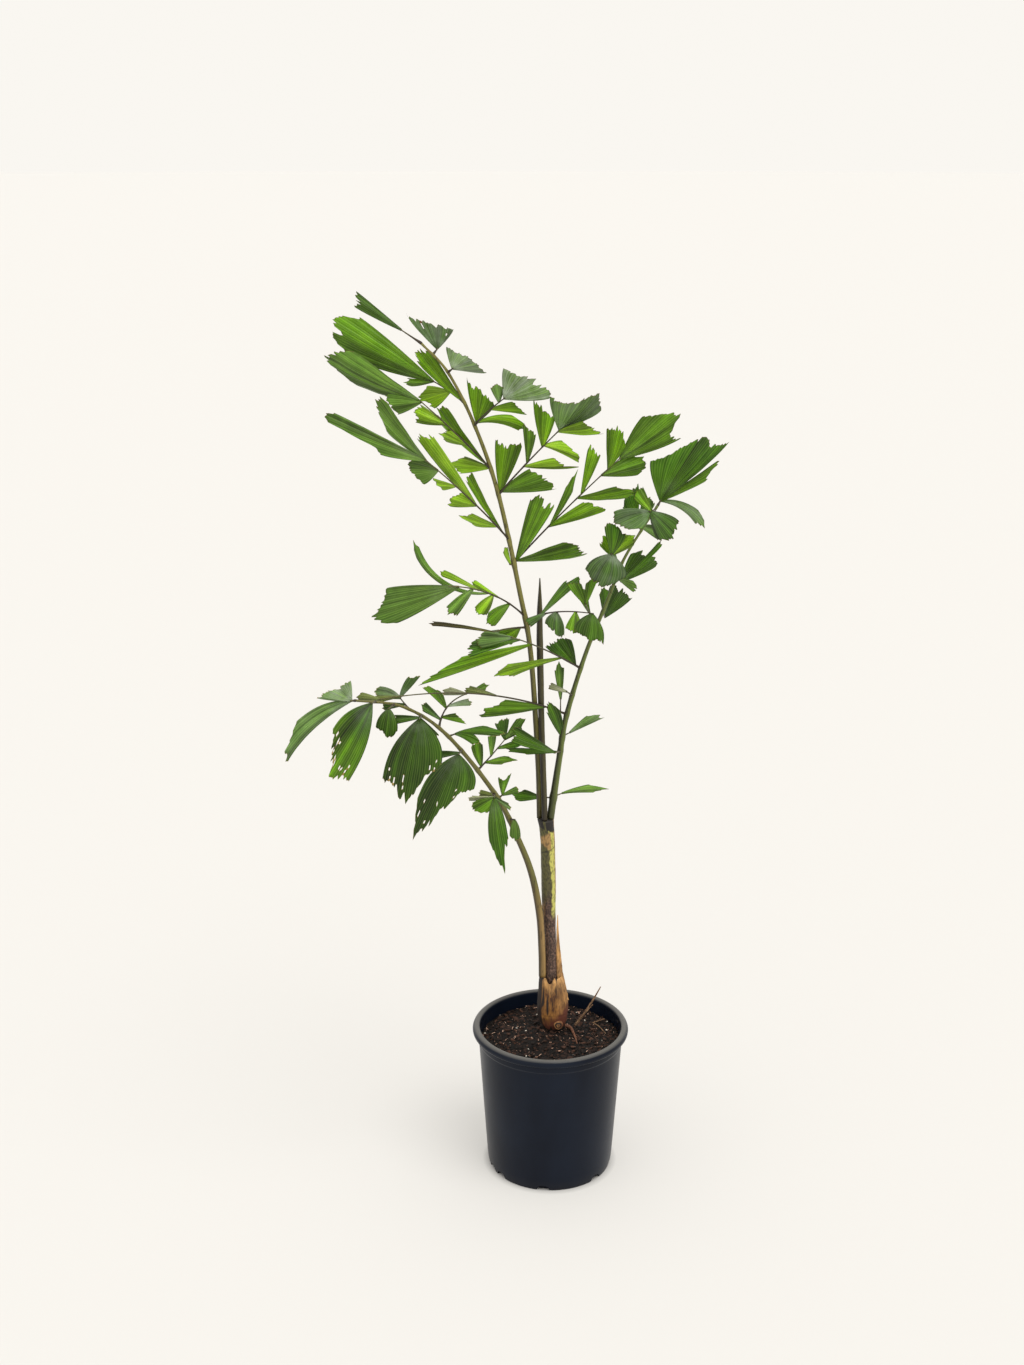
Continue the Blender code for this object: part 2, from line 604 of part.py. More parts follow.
def build_pot():
    top = POT_HEIGHT
    rim = POT_RIM_RADIUS
    under_rim = top - RIM_DROP
    under_floor = FLOOR_HEIGHT - FLOOR_THICKNESS
    foot_inside = POT_FOOT_RADIUS - POT_WALL
    collar = POT_WALL_RADIUS + STEP_DEPTH
    profile = [(0, 0), (PAD_RADIUS, 0), (PAD_RADIUS + 0.001, under_floor)]
    profile += [(foot_inside - 0.0005, under_floor), (foot_inside, 0), (POT_FOOT_RADIUS, 0)]
    profile += [(outer_radius(height), height) for height in (0.006, 0.014, 0.034)]
    profile += [(POT_WALL_RADIUS, STEP_HEIGHT), (collar, STEP_HEIGHT + 0.0022), (collar + 0.0006, under_rim)]
    profile += [(rim - 0.0025, under_rim), (rim - 0.0006, under_rim + 0.002), (rim, under_rim + 0.006)]
    profile += [(rim - 0.0018, top - 0.0026), (rim - 0.0048, top - 0.0004), (rim - 0.0075, top)]
    profile += [(POT_MOUTH_RADIUS + 0.0015, top - 0.0012), (POT_MOUTH_RADIUS, top - 0.0045)]
    profile += [(inner_radius(STEP_HEIGHT), STEP_HEIGHT - 0.001), (inner_radius(FLOOR_HEIGHT), FLOOR_HEIGHT)]
    profile += [(0, FLOOR_HEIGHT)]
    pot = turned("pot", profile, POT_SIDES)
    cutters = []
    for number, angle in enumerate(NOTCH_ANGLES):
        cutters.append(notch_cutter(number, math.radians(angle)))
    return combined(pot, cutters, "DIFFERENCE")


def notch_cutter(number, angle):
    """An arched bar that cuts one notch in the pot's foot, pointing outwards at an angle from the front."""
    half = NOTCH_WIDTH / 2
    shape = [(-half, -0.01), (half, -0.01), (half, 0.0)]
    for i in range(1, 6):
        turn = math.pi * i / 6
        shape.append((half * 0.92 * math.cos(turn), NOTCH_HEIGHT * math.sin(turn) ** 0.7))
    shape.append((-half, 0.0))
    out = Vector((math.sin(angle), -math.cos(angle), 0))
    side = Vector((math.cos(angle), math.sin(angle), 0))
    rings = []
    for reach in (POT_FOOT_RADIUS - NOTCH_INWARDS, POT_FOOT_RADIUS + NOTCH_OUTWARDS):
        rings.append([out * reach + side * x + Vector((0, 0, z)) for x, z in shape])
    return stacked(f"notch_{number}", rings, False)


def soil_height(x, y):
    """The potting bark's surface: a low mound with soft bumps, level under the stem."""
    from_stem = math.hypot(x - 0.004, y - STEM_BACK * MM)
    slope = min(max((from_stem - SOIL_FOOT) / SOIL_SLOPE, 0), 1)
    height = lerp(SOIL_AT_STEM, SOIL_AT_WALL, slope * slope * (3 - 2 * slope))
    bumps = math.sin(x * 131 + 1.1) * math.cos(y * 149 + 0.4) + 0.6 * math.sin(x * 61 - y * 83)
    return height + SOIL_BUMP * bumps * min(slope * 6, 1)


def build_soil():
    floor = FLOOR_HEIGHT + GAP
    foot_radius = inner_radius(floor) - 2 * GAP
    wall_radius = inner_radius(SOIL_AT_WALL - 0.004) - 2 * GAP
    points = []
    for radius, height in ((foot_radius, floor), (wall_radius, None)):
        for i in range(SOIL_SIDES):
            turn = 2 * math.pi * i / SOIL_SIDES
            x, y = radius * math.cos(turn), radius * math.sin(turn)
            points.append((x, y, height or soil_height(x, y)))
    for ring in range(1, SOIL_RINGS):
        radius = wall_radius * (1 - ring / SOIL_RINGS)
        for i in range(SOIL_SIDES):
            turn = 2 * math.pi * i / SOIL_SIDES
            x, y = radius * math.cos(turn), radius * math.sin(turn)
            points.append((x, y, soil_height(x, y)))
    points.append((0, 0, soil_height(0, 0)))
    faces = [tuple(range(SOIL_SIDES))[::-1]]
    for ring in range(SOIL_RINGS):
        for i in range(SOIL_SIDES):
            j = (i + 1) % SOIL_SIDES
            low = ring * SOIL_SIDES
            faces.append((low + i, low + j, low + SOIL_SIDES + j, low + SOIL_SIDES + i))
    last = SOIL_RINGS * SOIL_SIDES
    for i in range(SOIL_SIDES):
        faces.append((last + i, last + (i + 1) % SOIL_SIDES, len(points) - 1))
    return body("potting_bark", points, faces)


# Stem and what lies at its foot

def build_stem():
    centres = [Vector((x, STEM_BACK, z)) * MM for z, x, _ in STEM_RINGS]
    rings = []
    for centre, (_, _, radius) in zip(centres, STEM_RINGS):
        ring = []
        for i in range(STEM_SIDES):
            turn = 2 * math.pi * i / STEM_SIDES
            ring.append(centre + Vector((math.cos(turn), math.sin(turn), 0)) * radius * MM)
        rings.append(ring)
    stem = stacked("stem", rings)
    return combined(stem, [tube("knob", in_metres(KNOB), in_metres(KNOB_RADII), KNOB_SIDES)], "UNION")


def build_flap():
    """The dry sheath strip that stands on the bulb's right shoulder and hugs the stem."""
    rings = []
    for share, left, right in FLAP_EDGES:
        z = lerp(FLAP_FOOT, FLAP_TOP, share)
        near = lerp(STEM_BACK, STEM_BACK - 2, share)
        corners = ((left, near - 0.9), (right, near - 2.6), (right + 0.3, near - 0.9), (left, near + 0.9))
        rings.append(in_metres([(x, y, z) for x, y in corners]))
    return stacked("dry_sheath", rings)


def lying(points, radii):
    """Points on the potting bark, each raised to lie just clear of it."""
    raised = []
    for (x, y, up), radius in zip(points, radii):
        ground = soil_height(x * MM, y * MM)
        raised.append(Vector((x * MM, y * MM, ground + (radius + up + LITTER_LIFT) * MM)))
    return raised


def build_root():
    return tube("surface_root", lying(ROOT_LINE, ROOT_RADII), in_metres(ROOT_RADII), 7)


def build_stick():
    """The dead stick that leans out of the potting bark, with a short prong at its foot."""
    x, y, up = STICK_FOOT
    foot = Vector((x * MM, y * MM, soil_height(x * MM, y * MM) + up * MM))
    tip = Vector(STICK_TIP) * MM
    prong_end = Vector(PRONG_END) * MM
    centres = []
    for share in (0, 0.2, 0.45, 0.75, 1):
        sag = STICK_SAG * MM * math.sin(math.pi * share)
        centres.append(foot.lerp(tip, share) - Vector((0, 0, sag)))
    stick = tube("dead_stick", centres, in_metres(STICK_RADII), 6)
    prong_line = [foot.lerp(tip, 0.08), foot.lerp(prong_end, 0.6), prong_end - Vector((0, 0, 2 * MM))]
    return combined(stick, [tube("prong", prong_line, in_metres(PRONG_RADII), 5)], "UNION")


def build_twig():
    twig = tube("small_twig", lying(TWIG_LINE, TWIG_RADII), in_metres(TWIG_RADII), 5)
    fork = tube("twig_fork", lying(TWIG_FORK, TWIG_RADII), in_metres(TWIG_RADII), 5)
    return combined(twig, [fork], "UNION")


# Leaves

def build_stalk(name, path, radii):
    widths = [spread(radii, k / STALK_STEPS) * MM for k in range(STALK_STEPS + 1)]
    return tube(name, path.points, widths, STALK_SIDES)


def seat(path, radii, at, run):
    """Where a rib starts: just clear of its stalk, along its own run."""
    stalk = path.along(at)
    turn = abs(stalk.dot(run.normalized()))
    sine = max(math.sqrt(1 - turn * turn), 0.2)
    if at >= 1:
        return path.at(1) + stalk * (GAP + RIB_RADIUS * MM * sine)
    clear = (spread(radii, at) * MM + GAP + RIB_RADIUS * MM * turn) / sine
    return path.at(at) + run.normalized() * clear


def curled(curl, reach):
    """How far ahead and how far left an evenly turning line has come, as shares of its length."""
    turn = math.radians(curl)
    if abs(turn) < 0.001:
        return reach, 0
    return math.sin(turn * reach) / turn, (1 - math.cos(turn * reach)) / turn


def blade(foot, axis, left, out, leaflet, side, extra=0):
    """The points and faces of a thin wedge folded along its midline, its end cut to the leaflet's reach."""
    columns = 3 if leaflet.width <= NARROW else 5
    rows = SLIM_ROWS if leaflet.width <= SLIM else BLADE_ROWS
    length = leaflet.length * MM
    half = leaflet.width * MM / 2
    base = BASE_HALF_WIDTH * MM
    thickness = (max(LEAST_THICKNESS, THICKNESS_SHARE * leaflet.length) + extra) * MM
    fold = math.tan(math.radians(leaflet.fold)) * side
    near = []
    for row in range(rows + 1):
        u = row / rows
        wide = base + (half - base) * (1 - (1 - u) ** leaflet.flare)
        for column in range(columns):
            v = 1 - 2 * column / (columns - 1)
            reach = u * spread(leaflet.reach, (1 - v) / 2)
            ahead, aside = curled(leaflet.curl, reach)
            angle = math.radians(leaflet.curl) * reach
            own_left = left * math.cos(angle) - axis * math.sin(angle)
            lift = BULGE * length * 4 * reach * (1 - reach) + fold * wide * abs(v)
            near.append(foot + (axis * ahead + left * aside) * length + own_left * (v * wide) + out * lift)
    half_thick = out * (thickness / 2)
    points = [p + half_thick for p in near] + [p - half_thick for p in near]
    count = len(near)
    faces = []
    for row in range(rows):
        for column in range(columns - 1):
            a = row * columns + column
            b = a + 1
            c = b + columns
            d = a + columns
            faces.append((a, b, c, d))
            faces.append((count + a, count + d, count + c, count + b))
    border = list(range(columns))
    border += [row * columns + columns - 1 for row in range(1, rows + 1)]
    border += list(range(count - 2, count - columns - 1, -1))
    border += [row * columns for row in range(rows - 1, 0, -1)]
    for a, b in zip(border, border[1:] + border[:1]):
        faces.append((a, count + a, count + b, b))
    return points, faces


def build_rib(pinna, path, radii):
    """The rib's centres and its round body."""
    run = Vector(pinna.run) * MM
    bow = Vector(pinna.bow) * MM
    start = seat(path, radii, pinna.at, run)
    end = path.at(pinna.at) + run
    centres = []
    for k in range(RIB_STEPS + 1):
        t = k / RIB_STEPS
        centres.append(start.lerp(end, t) + bow * 4 * t * (1 - t))
    widths = [lerp(RIB_RADIUS, RIB_TIP_RADIUS, k / RIB_STEPS) * MM for k in range(RIB_STEPS + 1)]
    return centres, tube(pinna.name, centres, widths, RIB_SIDES)


def placed(pinna, number, centres, extra=0):
    """One leaflet of a pinna: turned about its length and swung forwards or back, in turns along the rib."""
    leaflet = pinna.leaflets[number]
    out = Vector(pinna.face).normalized()
    across = Vector((0, 0, 1)).cross(out).normalized()
    up = out.cross(across)
    turn = math.radians(leaflet.heading)
    side = 1 if number % 2 else -1
    swing = math.radians(leaflet.lean) + side * math.asin(SWAY / leaflet.length)
    tilt = math.radians(TILT * side)
    flat = across * math.cos(turn) + up * math.sin(turn)
    axis = flat * math.cos(swing) + out * math.sin(swing)
    front = out * math.cos(swing) - flat * math.sin(swing)
    left = front.cross(axis)
    tilted = left * math.cos(tilt) + front * math.sin(tilt)
    front = front * math.cos(tilt) - left * math.sin(tilt)
    run = (centres[-1] - centres[0]).length
    share = min(leaflet.at, max(1 - 0.002 / run, 0.5)) * RIB_STEPS
    low = min(int(share), RIB_STEPS - 1)
    foot = centres[low].lerp(centres[low + 1], share - low) - axis * ROOT_SINK * MM
    return blade(foot, axis, tilted, front, leaflet, MIDRIB_SIDE[pinna.stalk], extra)


def tree_of(thing):
    corners = [vertex.co for vertex in thing.data.vertices]
    return BVHTree.FromPolygons(corners, [tuple(face.vertices) for face in thing.data.polygons])


def add_leaflets(pinna, centres, rib, standing):
    """Hangs the leaflets on a rib; one that would touch another limb is left off."""
    blades = []
    own = []
    for number in range(len(pinna.leaflets)):
        tree = BVHTree.FromPolygons(*placed(pinna, number, centres, CLEARANCE))
        if any(name != pinna.name and tree.overlap(other) for name, other in standing):
            print("left off", pinna.name, number)
            continue
        blades.append(body(f"{pinna.name}_{number}", *placed(pinna, number, centres), False))
        own.append((pinna.name, tree))
    standing.extend(own)
    return combined(rib, blades, "UNION")


def build_leaves():
    """The stalks, and the side ribs with their leaflets."""
    paths = {}
    for name, stalk in STALKS.items():
        paths[name] = Path(stalk.knots)
        thing = build_stalk(name if name == "spear" else name + "_stalk", paths[name], stalk.radii)
        dressed(thing, finish(thing.name + "_skin", STALK_GREEN, 0.55))
    standing = [(thing.name, tree_of(thing)) for thing in bpy.data.objects]
    ribs = {}
    for pinna in PINNAE:
        ribs[pinna.name] = build_rib(pinna, paths[pinna.stalk], STALKS[pinna.stalk].radii)
        standing.append((pinna.name, tree_of(ribs[pinna.name][1])))
    for pinna in PINNAE:
        centres, rib = ribs[pinna.name]
        thing = add_leaflets(pinna, centres, rib, standing)
        dressed(thing, finish(pinna.name + "_green", LEAF_GREENS[pinna.stalk], 0.5))


def main():
    for thing in list(bpy.data.objects):
        bpy.data.objects.remove(thing)
    dressed(build_pot(), finish("pot_plastic", BLACK_PLASTIC, 0.45))
    dressed(build_soil(), finish("bark_compost", DARK_BARK, 0.95))
    dressed(build_stem(), finish("stem_husk", BROWN_HUSK, 0.75))
    dressed(build_flap(), finish("dry_sheath_tan", DRY_TAN, 0.8))
    for thing in (build_root(), build_stick(), build_twig()):
        dressed(thing, finish(thing.name + "_brown", DEAD_WOOD, 0.85))
    build_leaves()


main()
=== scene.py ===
"""A young fishtail palm in a round nursery pot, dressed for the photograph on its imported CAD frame.

The leaflets follow the rule of the CAD source, written again with fine ragged ends, veins and pleats. The pot, the
potting bark, the stem and the stalks are made again from the same named sizes with the relief of the real surfaces.
"""

import json
import logging
import math
import random
from dataclasses import dataclass, field
from enum import Enum
from typing import Callable, NamedTuple

import bmesh
import bpy
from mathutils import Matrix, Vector, noise

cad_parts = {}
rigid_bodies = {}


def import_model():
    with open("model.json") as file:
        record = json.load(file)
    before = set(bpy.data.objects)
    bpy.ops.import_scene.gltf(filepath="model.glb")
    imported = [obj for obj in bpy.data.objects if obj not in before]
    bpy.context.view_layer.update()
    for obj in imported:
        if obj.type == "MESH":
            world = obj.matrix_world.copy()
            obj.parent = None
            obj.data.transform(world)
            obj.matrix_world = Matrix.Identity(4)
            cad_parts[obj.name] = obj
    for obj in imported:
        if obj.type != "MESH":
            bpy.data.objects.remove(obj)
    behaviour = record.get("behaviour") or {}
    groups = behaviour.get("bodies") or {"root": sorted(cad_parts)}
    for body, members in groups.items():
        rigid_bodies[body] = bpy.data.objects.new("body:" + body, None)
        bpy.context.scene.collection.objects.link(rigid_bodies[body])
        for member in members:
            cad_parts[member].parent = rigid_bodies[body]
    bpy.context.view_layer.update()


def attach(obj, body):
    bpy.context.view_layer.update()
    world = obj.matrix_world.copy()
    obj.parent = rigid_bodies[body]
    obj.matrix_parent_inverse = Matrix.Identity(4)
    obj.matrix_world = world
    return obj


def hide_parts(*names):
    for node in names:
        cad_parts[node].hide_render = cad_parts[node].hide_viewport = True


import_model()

LOG = logging.getLogger("fishtail_palm")
MM = 0.001
GAP = 0.0003
Point = Vector
Colour = tuple[float, float, float]


# Small mathematics


def lerp(start: float, end: float, share: float) -> float:
    """Read between two values."""
    return start + (end - start) * share


def smooth(low: float, high: float, value: float) -> float:
    """Rise softly from 0 at low to 1 at high."""
    t = min(max((value - low) / (high - low), 0.0), 1.0)
    return t * t * (3 - 2 * t)


def spread(values: tuple, share: float) -> float:
    """Read evenly spaced values at a share of their whole length.

    Args:
        values: The values, first to last.
        share: Where to read, 0 to 1.

    Returns:
        The value there.
    """
    place = min(max(share, 0), 1) * (len(values) - 1)
    low = min(int(place), len(values) - 2)
    return lerp(values[low], values[low + 1], place - low)


def bend(a: Point, b: Point, c: Point, d: Point, t: float) -> Point:
    """Give a point on a smooth curve from b to c that looks towards a and d.

    Args:
        a: The point before b.
        b: Where the curve starts.
        c: Where the curve ends.
        d: The point after c.
        t: Share of the way from b to c.

    Returns:
        The point there.
    """
    return 0.5 * ((2 * b) + (c - a) * t + (2 * a - 5 * b + 4 * c - d) * t * t + (3 * b - a - 3 * c + d) * t**3)


def linear(code: str) -> Colour:
    """Turn an sRGB hex colour into linear light.

    Args:
        code: Six hex digits after a hash sign.

    Returns:
        Red, green and blue.
    """
    channels = [int(code[i : i + 2], 16) / 255 for i in (1, 3, 5)]
    return tuple(c / 12.92 if c <= 0.04045 else ((c + 0.055) / 1.055) ** 2.4 for c in channels)


def mixed(first: Colour, second: Colour, share: float) -> Colour:
    """Mix two linear colours."""
    return tuple(lerp(a, b, share) for a, b in zip(first, second))


def grain(point: Point, size: float) -> float:
    """Give soft noise from -1 to 1 whose lumps are about size across."""
    return noise.noise(point / size)


class Path:
    """A smooth line through points given in mm, read by share of its length."""

    def __init__(self, knots: tuple, steps: int) -> None:
        """Measure the line and cut it into equal pieces.

        Args:
            knots: The points that it bends through, in mm.
            steps: How many equal pieces it is cut into.
        """
        points = [Vector(k) * MM for k in knots]
        ends = [2 * points[0] - points[1]] + points + [2 * points[-1] - points[-2]]
        fine = [points[0]]
        for i in range(len(points) - 1):
            for s in range(1, 25):
                fine.append(bend(*ends[i : i + 4], s / 24))
        lengths = [0.0]
        for a, b in zip(fine, fine[1:]):
            lengths.append(lengths[-1] + (b - a).length)
        self.length = lengths[-1]
        self.points = []
        low = 0
        for k in range(steps + 1):
            goal = self.length * k / steps
            while low < len(fine) - 2 and lengths[low + 1] < goal:
                low += 1
            part = (goal - lengths[low]) / (lengths[low + 1] - lengths[low])
            self.points.append(fine[low].lerp(fine[low + 1], part))

    def at(self, share: float) -> Point:
        """Give the point at a share of the length."""
        place = min(max(share, 0), 1) * (len(self.points) - 1)
        low = min(int(place), len(self.points) - 2)
        return self.points[low].lerp(self.points[low + 1], place - low)

    def along(self, share: float) -> Point:
        """Give the direction at a share of the length."""
        return (self.at(min(share + 0.01, 1)) - self.at(max(share - 0.01, 0))).normalized()


# Nodes and finishes


def add(tree: bpy.types.NodeTree, kind: str, links: dict | None = None, **settings) -> bpy.types.Node:
    """Add a node with its settings and links.

    Args:
        tree: The material's or the geometry's tree.
        kind: Blender's name for the node.
        links: Socket name or number to what feeds it, an output socket or a plain value.
        settings: The node's own properties.

    Returns:
        The node.
    """
    node = tree.nodes.new(kind)
    for name, value in settings.items():
        setattr(node, name, value)
    for name, source in (links or {}).items():
        if isinstance(source, bpy.types.NodeSocket):
            tree.links.new(source, node.inputs[name])
        else:
            node.inputs[name].default_value = source
    return node


def ramp(tree: bpy.types.NodeTree, source: bpy.types.NodeSocket, stops: tuple) -> bpy.types.NodeSocket:
    """Turn a value into a colour by stops.

    Args:
        tree: The material's tree.
        source: The value.
        stops: Places and linear colours, low to high.

    Returns:
        The colour output.
    """
    node = add(tree, "ShaderNodeValToRGB", {"Fac": source})
    elements = node.color_ramp.elements
    while len(elements) < len(stops):
        elements.new(0.5)
    for element, (place, colour) in zip(elements, stops):
        element.position = place
        element.color = (*colour, 1)
    return node.outputs["Color"]


def blend_colours(tree: bpy.types.NodeTree, share: object, first: object, second: object,
                  way: str = "MIX") -> bpy.types.NodeSocket:
    """Mix two colours in a material.

    Args:
        tree: The material's tree.
        share: How much of the second, a socket or a number.
        first: The first colour, a socket or linear colour.
        second: The second colour, a socket or linear colour.
        way: Blender's name for the way of mixing.

    Returns:
        The mixed colour output.
    """
    first = first if isinstance(first, bpy.types.NodeSocket) else (*first, 1)
    second = second if isinstance(second, bpy.types.NodeSocket) else (*second, 1)
    node = add(tree, "ShaderNodeMix", {0: share, 6: first, 7: second}, data_type="RGBA", blend_type=way)
    return node.outputs[2]


def figure(tree: bpy.types.NodeTree, operation: str, *values: object) -> bpy.types.NodeSocket:
    """Do one sum in a tree.

    Args:
        tree: The material's or the geometry's tree.
        operation: Blender's name for the sum.
        values: Sockets or numbers.

    Returns:
        The value output.
    """
    return add(tree, "ShaderNodeMath", dict(enumerate(values)), operation=operation).outputs[0]


def speckle(tree: bpy.types.NodeTree, coordinates: bpy.types.NodeSocket, size_mm: float, detail: float = 3,
            stretch: tuple = (1, 1, 1)) -> bpy.types.NodeSocket:
    """Add noise whose lumps are about size_mm across.

    Args:
        tree: The material's tree.
        coordinates: Object coordinates, in metres.
        size_mm: Size of a lump.
        detail: How many finer layers.
        stretch: How many times each way is squeezed.

    Returns:
        The noise from 0 to 1.
    """
    place = add(tree, "ShaderNodeMapping", {"Vector": coordinates, "Scale": stretch})
    node = add(tree, "ShaderNodeTexNoise", {"Vector": place.outputs[0], "Scale": 1000 / size_mm, "Detail": detail})
    return node.outputs["Fac"]


class Workbench:
    """A new material with its Principled shader, its coordinates and its bump."""

    def __init__(self, name: str) -> None:
        """Start the material.

        Args:
            name: What the real material is.
        """
        self.material = bpy.data.materials.new(name)
        self.material.use_nodes = True
        self.tree = self.material.node_tree
        self.shader = self.tree.nodes["Principled BSDF"]
        place = add(self.tree, "ShaderNodeTexCoord")
        self.place = place.outputs["Object"]
        self.uv = place.outputs["UV"]

    def attribute(self, name: str, output: str = "Fac") -> bpy.types.NodeSocket:
        """Read one of the piece's own attributes."""
        return add(self.tree, "ShaderNodeAttribute", attribute_name=name).outputs[output]

    def settle(self, colour: bpy.types.NodeSocket, roughness: object, relief: bpy.types.NodeSocket, depth_mm: float,
               **fixed: float) -> bpy.types.Material:
        """Connect the shader.

        Args:
            colour: The surface colour.
            roughness: A socket or a number.
            relief: A height from 0 to 1.
            depth_mm: How deep the relief is.
            fixed: Values for sockets that are the same all over.

        Returns:
            The material.
        """
        self.tree.links.new(colour, self.shader.inputs["Base Color"])
        if isinstance(roughness, bpy.types.NodeSocket):
            self.tree.links.new(roughness, self.shader.inputs["Roughness"])
        else:
            self.shader.inputs["Roughness"].default_value = roughness
        bump = add(self.tree, "ShaderNodeBump", {"Height": relief, "Distance": depth_mm * MM, "Strength": 1.0})
        self.tree.links.new(bump.outputs[0], self.shader.inputs["Normal"])
        for name, value in fixed.items():
            self.shader.inputs[name.replace("_", " ")].default_value = value
        return self.material


@dataclass(frozen=True)
class MouldedPolypropylene:
    """Injection-moulded polypropylene, blue black: dark face on, pale along its edges, with a painted reflection round
    the top of its rim and faint flow marks.
    """

    name: str = "moulded_polypropylene"
    base: str = "#0A101C"
    worn: str = "#121A28"
    lip_reflection: str = "#5C5B59"
    dust: str = "#4A453E"
    lip_height: float = 0.2455
    roughness: float = 0.31

    def material(self) -> bpy.types.Material:
        """Build the material."""
        bench = Workbench(self.name)
        tree = bench.tree
        cloud = speckle(tree, bench.place, 70, 4, (1, 1, 0.5))
        scuff = speckle(tree, bench.place, 22, 5, (1, 1, 0.6))
        colour = ramp(tree, cloud, ((0.35, linear(self.base)), (0.75, linear(self.worn))))
        height = add(tree, "ShaderNodeSeparateXYZ", {0: bench.place}).outputs["Z"]
        foot = add(tree, "ShaderNodeMapRange", {"Value": height, "From Min": 0.02, "From Max": 0.0}).outputs[0]
        # Painted reflection: a pale grey band laid over the rim's top.
        top = add(tree, "ShaderNodeMapRange", {"Value": height, "From Min": self.lip_height,
                                               "From Max": self.lip_height + 0.003}).outputs[0]
        colour = blend_colours(tree, top, colour, linear(self.lip_reflection))
        low = figure(tree, "MULTIPLY", figure(tree, "MULTIPLY", foot, scuff), 0.18)
        colour = blend_colours(tree, low, colour, linear(self.dust))
        rough = add(tree, "ShaderNodeMapRange", {"Value": scuff, "To Min": self.roughness - 0.04,
                                                 "To Max": self.roughness + 0.08}).outputs[0]
        fine = figure(tree, "ADD", speckle(tree, bench.place, 0.8, 2), figure(tree, "MULTIPLY", scuff, 0.6))
        return bench.settle(colour, rough, fine, 0.04, IOR=1.49, Specular_IOR_Level=0.14)


@dataclass(frozen=True)
class BarkCompost:
    """Composted bark, moist and dark: dull crumbs from black to red brown."""

    name: str = "moist_bark_compost"
    dark: str = "#040302"
    brown: str = "#1C130F"
    red: str = "#4E3428"
    lump_mm: float = 4

    def material(self) -> bpy.types.Material:
        """Build the material."""
        bench = Workbench(self.name)
        tree = bench.tree
        lump = speckle(tree, bench.place, self.lump_mm, 5)
        tint = figure(tree, "POWER", bench.attribute("tint"), 7)
        patch = add(tree, "ShaderNodeMapRange", {"Value": speckle(tree, bench.place, 13, 3), "From Min": 0.4,
                                                 "From Max": 0.6, "To Min": 0.8, "To Max": 0.0}).outputs[0]
        colour = ramp(tree, lump, ((0.38, linear(self.dark)), (0.66, linear(self.brown)), (0.85, linear(self.red))))
        colour = blend_colours(tree, tint, blend_colours(tree, patch, colour, linear(self.dark)), linear(self.red))
        rough = add(tree, "ShaderNodeMapRange", {"Value": lump, "To Min": 0.5, "To Max": 0.95}).outputs[0]
        return bench.settle(colour, rough, speckle(tree, bench.place, 1.6, 5), 1.2, Specular_IOR_Level=0.25)


@dataclass(frozen=True)
class ExpandedPerlite:
    """Expanded perlite, white and rough: a crumb that catches the light."""

    name: str = "expanded_perlite"
    light: str = "#E9E2D6"
    shade: str = "#B9AA98"

    def material(self) -> bpy.types.Material:
        """Build the material."""
        bench = Workbench(self.name)
        lump = speckle(bench.tree, bench.place, 1.2, 3)
        colour = ramp(bench.tree, lump, ((0.3, linear(self.shade)), (0.6, linear(self.light))))
        return bench.settle(colour, 0.9, lump, 0.3)


@dataclass(frozen=True)
class LeafBlade:
    """A living palm leaflet: a waxy skin over fine veins that fan out from its foot, bitten brown along its end, under
    a silvery veil that is partly its own and partly painted sheen.
    """

    name: str
    vein: str
    crest: str = "#B9CC7A"
    browned: str = "#5E4320"
    bloom: str = "#B9C4B4"
    roughness: float = 0.38
    vein_mm: float = 3.4

    def material(self) -> bpy.types.Material:
        """Build the material."""
        bench = Workbench(self.name)
        tree = bench.tree
        own = bench.attribute("leaf_colour", "Color")
        cloud = speckle(tree, bench.place, 26, 3)
        colour = blend_colours(tree, add(tree, "ShaderNodeMapRange", {"Value": cloud, "From Min": 0.35,
                               "From Max": 0.7, "To Max": 0.35}).outputs[0], own, own, "MULTIPLY")
        sheet = add(tree, "ShaderNodeSeparateXYZ", {0: bench.uv})
        turn = figure(tree, "MULTIPLY", sheet.outputs["X"], 2 * math.pi * 10 / self.vein_mm)
        broad = figure(tree, "MULTIPLY_ADD", figure(tree, "SINE", turn), 0.5, 0.5)
        narrow = figure(tree, "POWER", broad, 5.0)
        streaks = add(tree, "ShaderNodeTexNoise", {
            "Vector": add(tree, "ShaderNodeMapping", {"Vector": bench.uv, "Scale": (9, 1.2, 1)}).outputs[0],
            "Scale": 1.0, "Detail": 3.0}).outputs["Fac"]
        colour = blend_colours(tree, figure(tree, "MULTIPLY", narrow, 0.38), colour, linear(self.vein))
        crest = figure(tree, "POWER", figure(tree, "SUBTRACT", 1.0, broad), 7.0)
        colour = blend_colours(tree, figure(tree, "MULTIPLY", crest, 0.11), colour, linear(self.crest))
        dark = add(tree, "ShaderNodeMapRange", {"Value": streaks, "From Min": 0.45, "From Max": 0.75,
                                                "To Max": 0.6}).outputs[0]
        colour = blend_colours(tree, dark, colour, colour, "MULTIPLY")
        veil = figure(tree, "MULTIPLY", figure(tree, "ADD", streaks, speckle(tree, bench.place, 22, 4)), 0.5)
        veil = add(tree, "ShaderNodeMapRange", {"Value": veil, "From Min": 0.42, "From Max": 0.62,
                                                "To Max": 0.62}).outputs[0]
        # A silvery veil in streaks: partly the leaflet's own at its foot, partly painted sheen.
        bloom = figure(tree, "MULTIPLY", bench.attribute("bloom"), veil)
        colour = blend_colours(tree, bloom, colour, linear(self.bloom))
        ragged = figure(tree, "ADD", bench.attribute("margin"), figure(tree, "MULTIPLY", speckle(
            tree, bench.place, 5, 4), 0.35))
        ragged = add(tree, "ShaderNodeMapRange", {"Value": ragged, "From Min": 1.0, "From Max": 1.12}).outputs[0]
        colour = blend_colours(tree, ragged, colour, linear(self.browned))
        rough = add(tree, "ShaderNodeMapRange", {"Value": cloud, "To Min": self.roughness - 0.08,
                                                 "To Max": self.roughness + 0.12}).outputs[0]
        return bench.settle(colour, rough, figure(tree, "ADD", broad, streaks), 0.35, IOR=1.45,
                            Specular_IOR_Level=0.24)


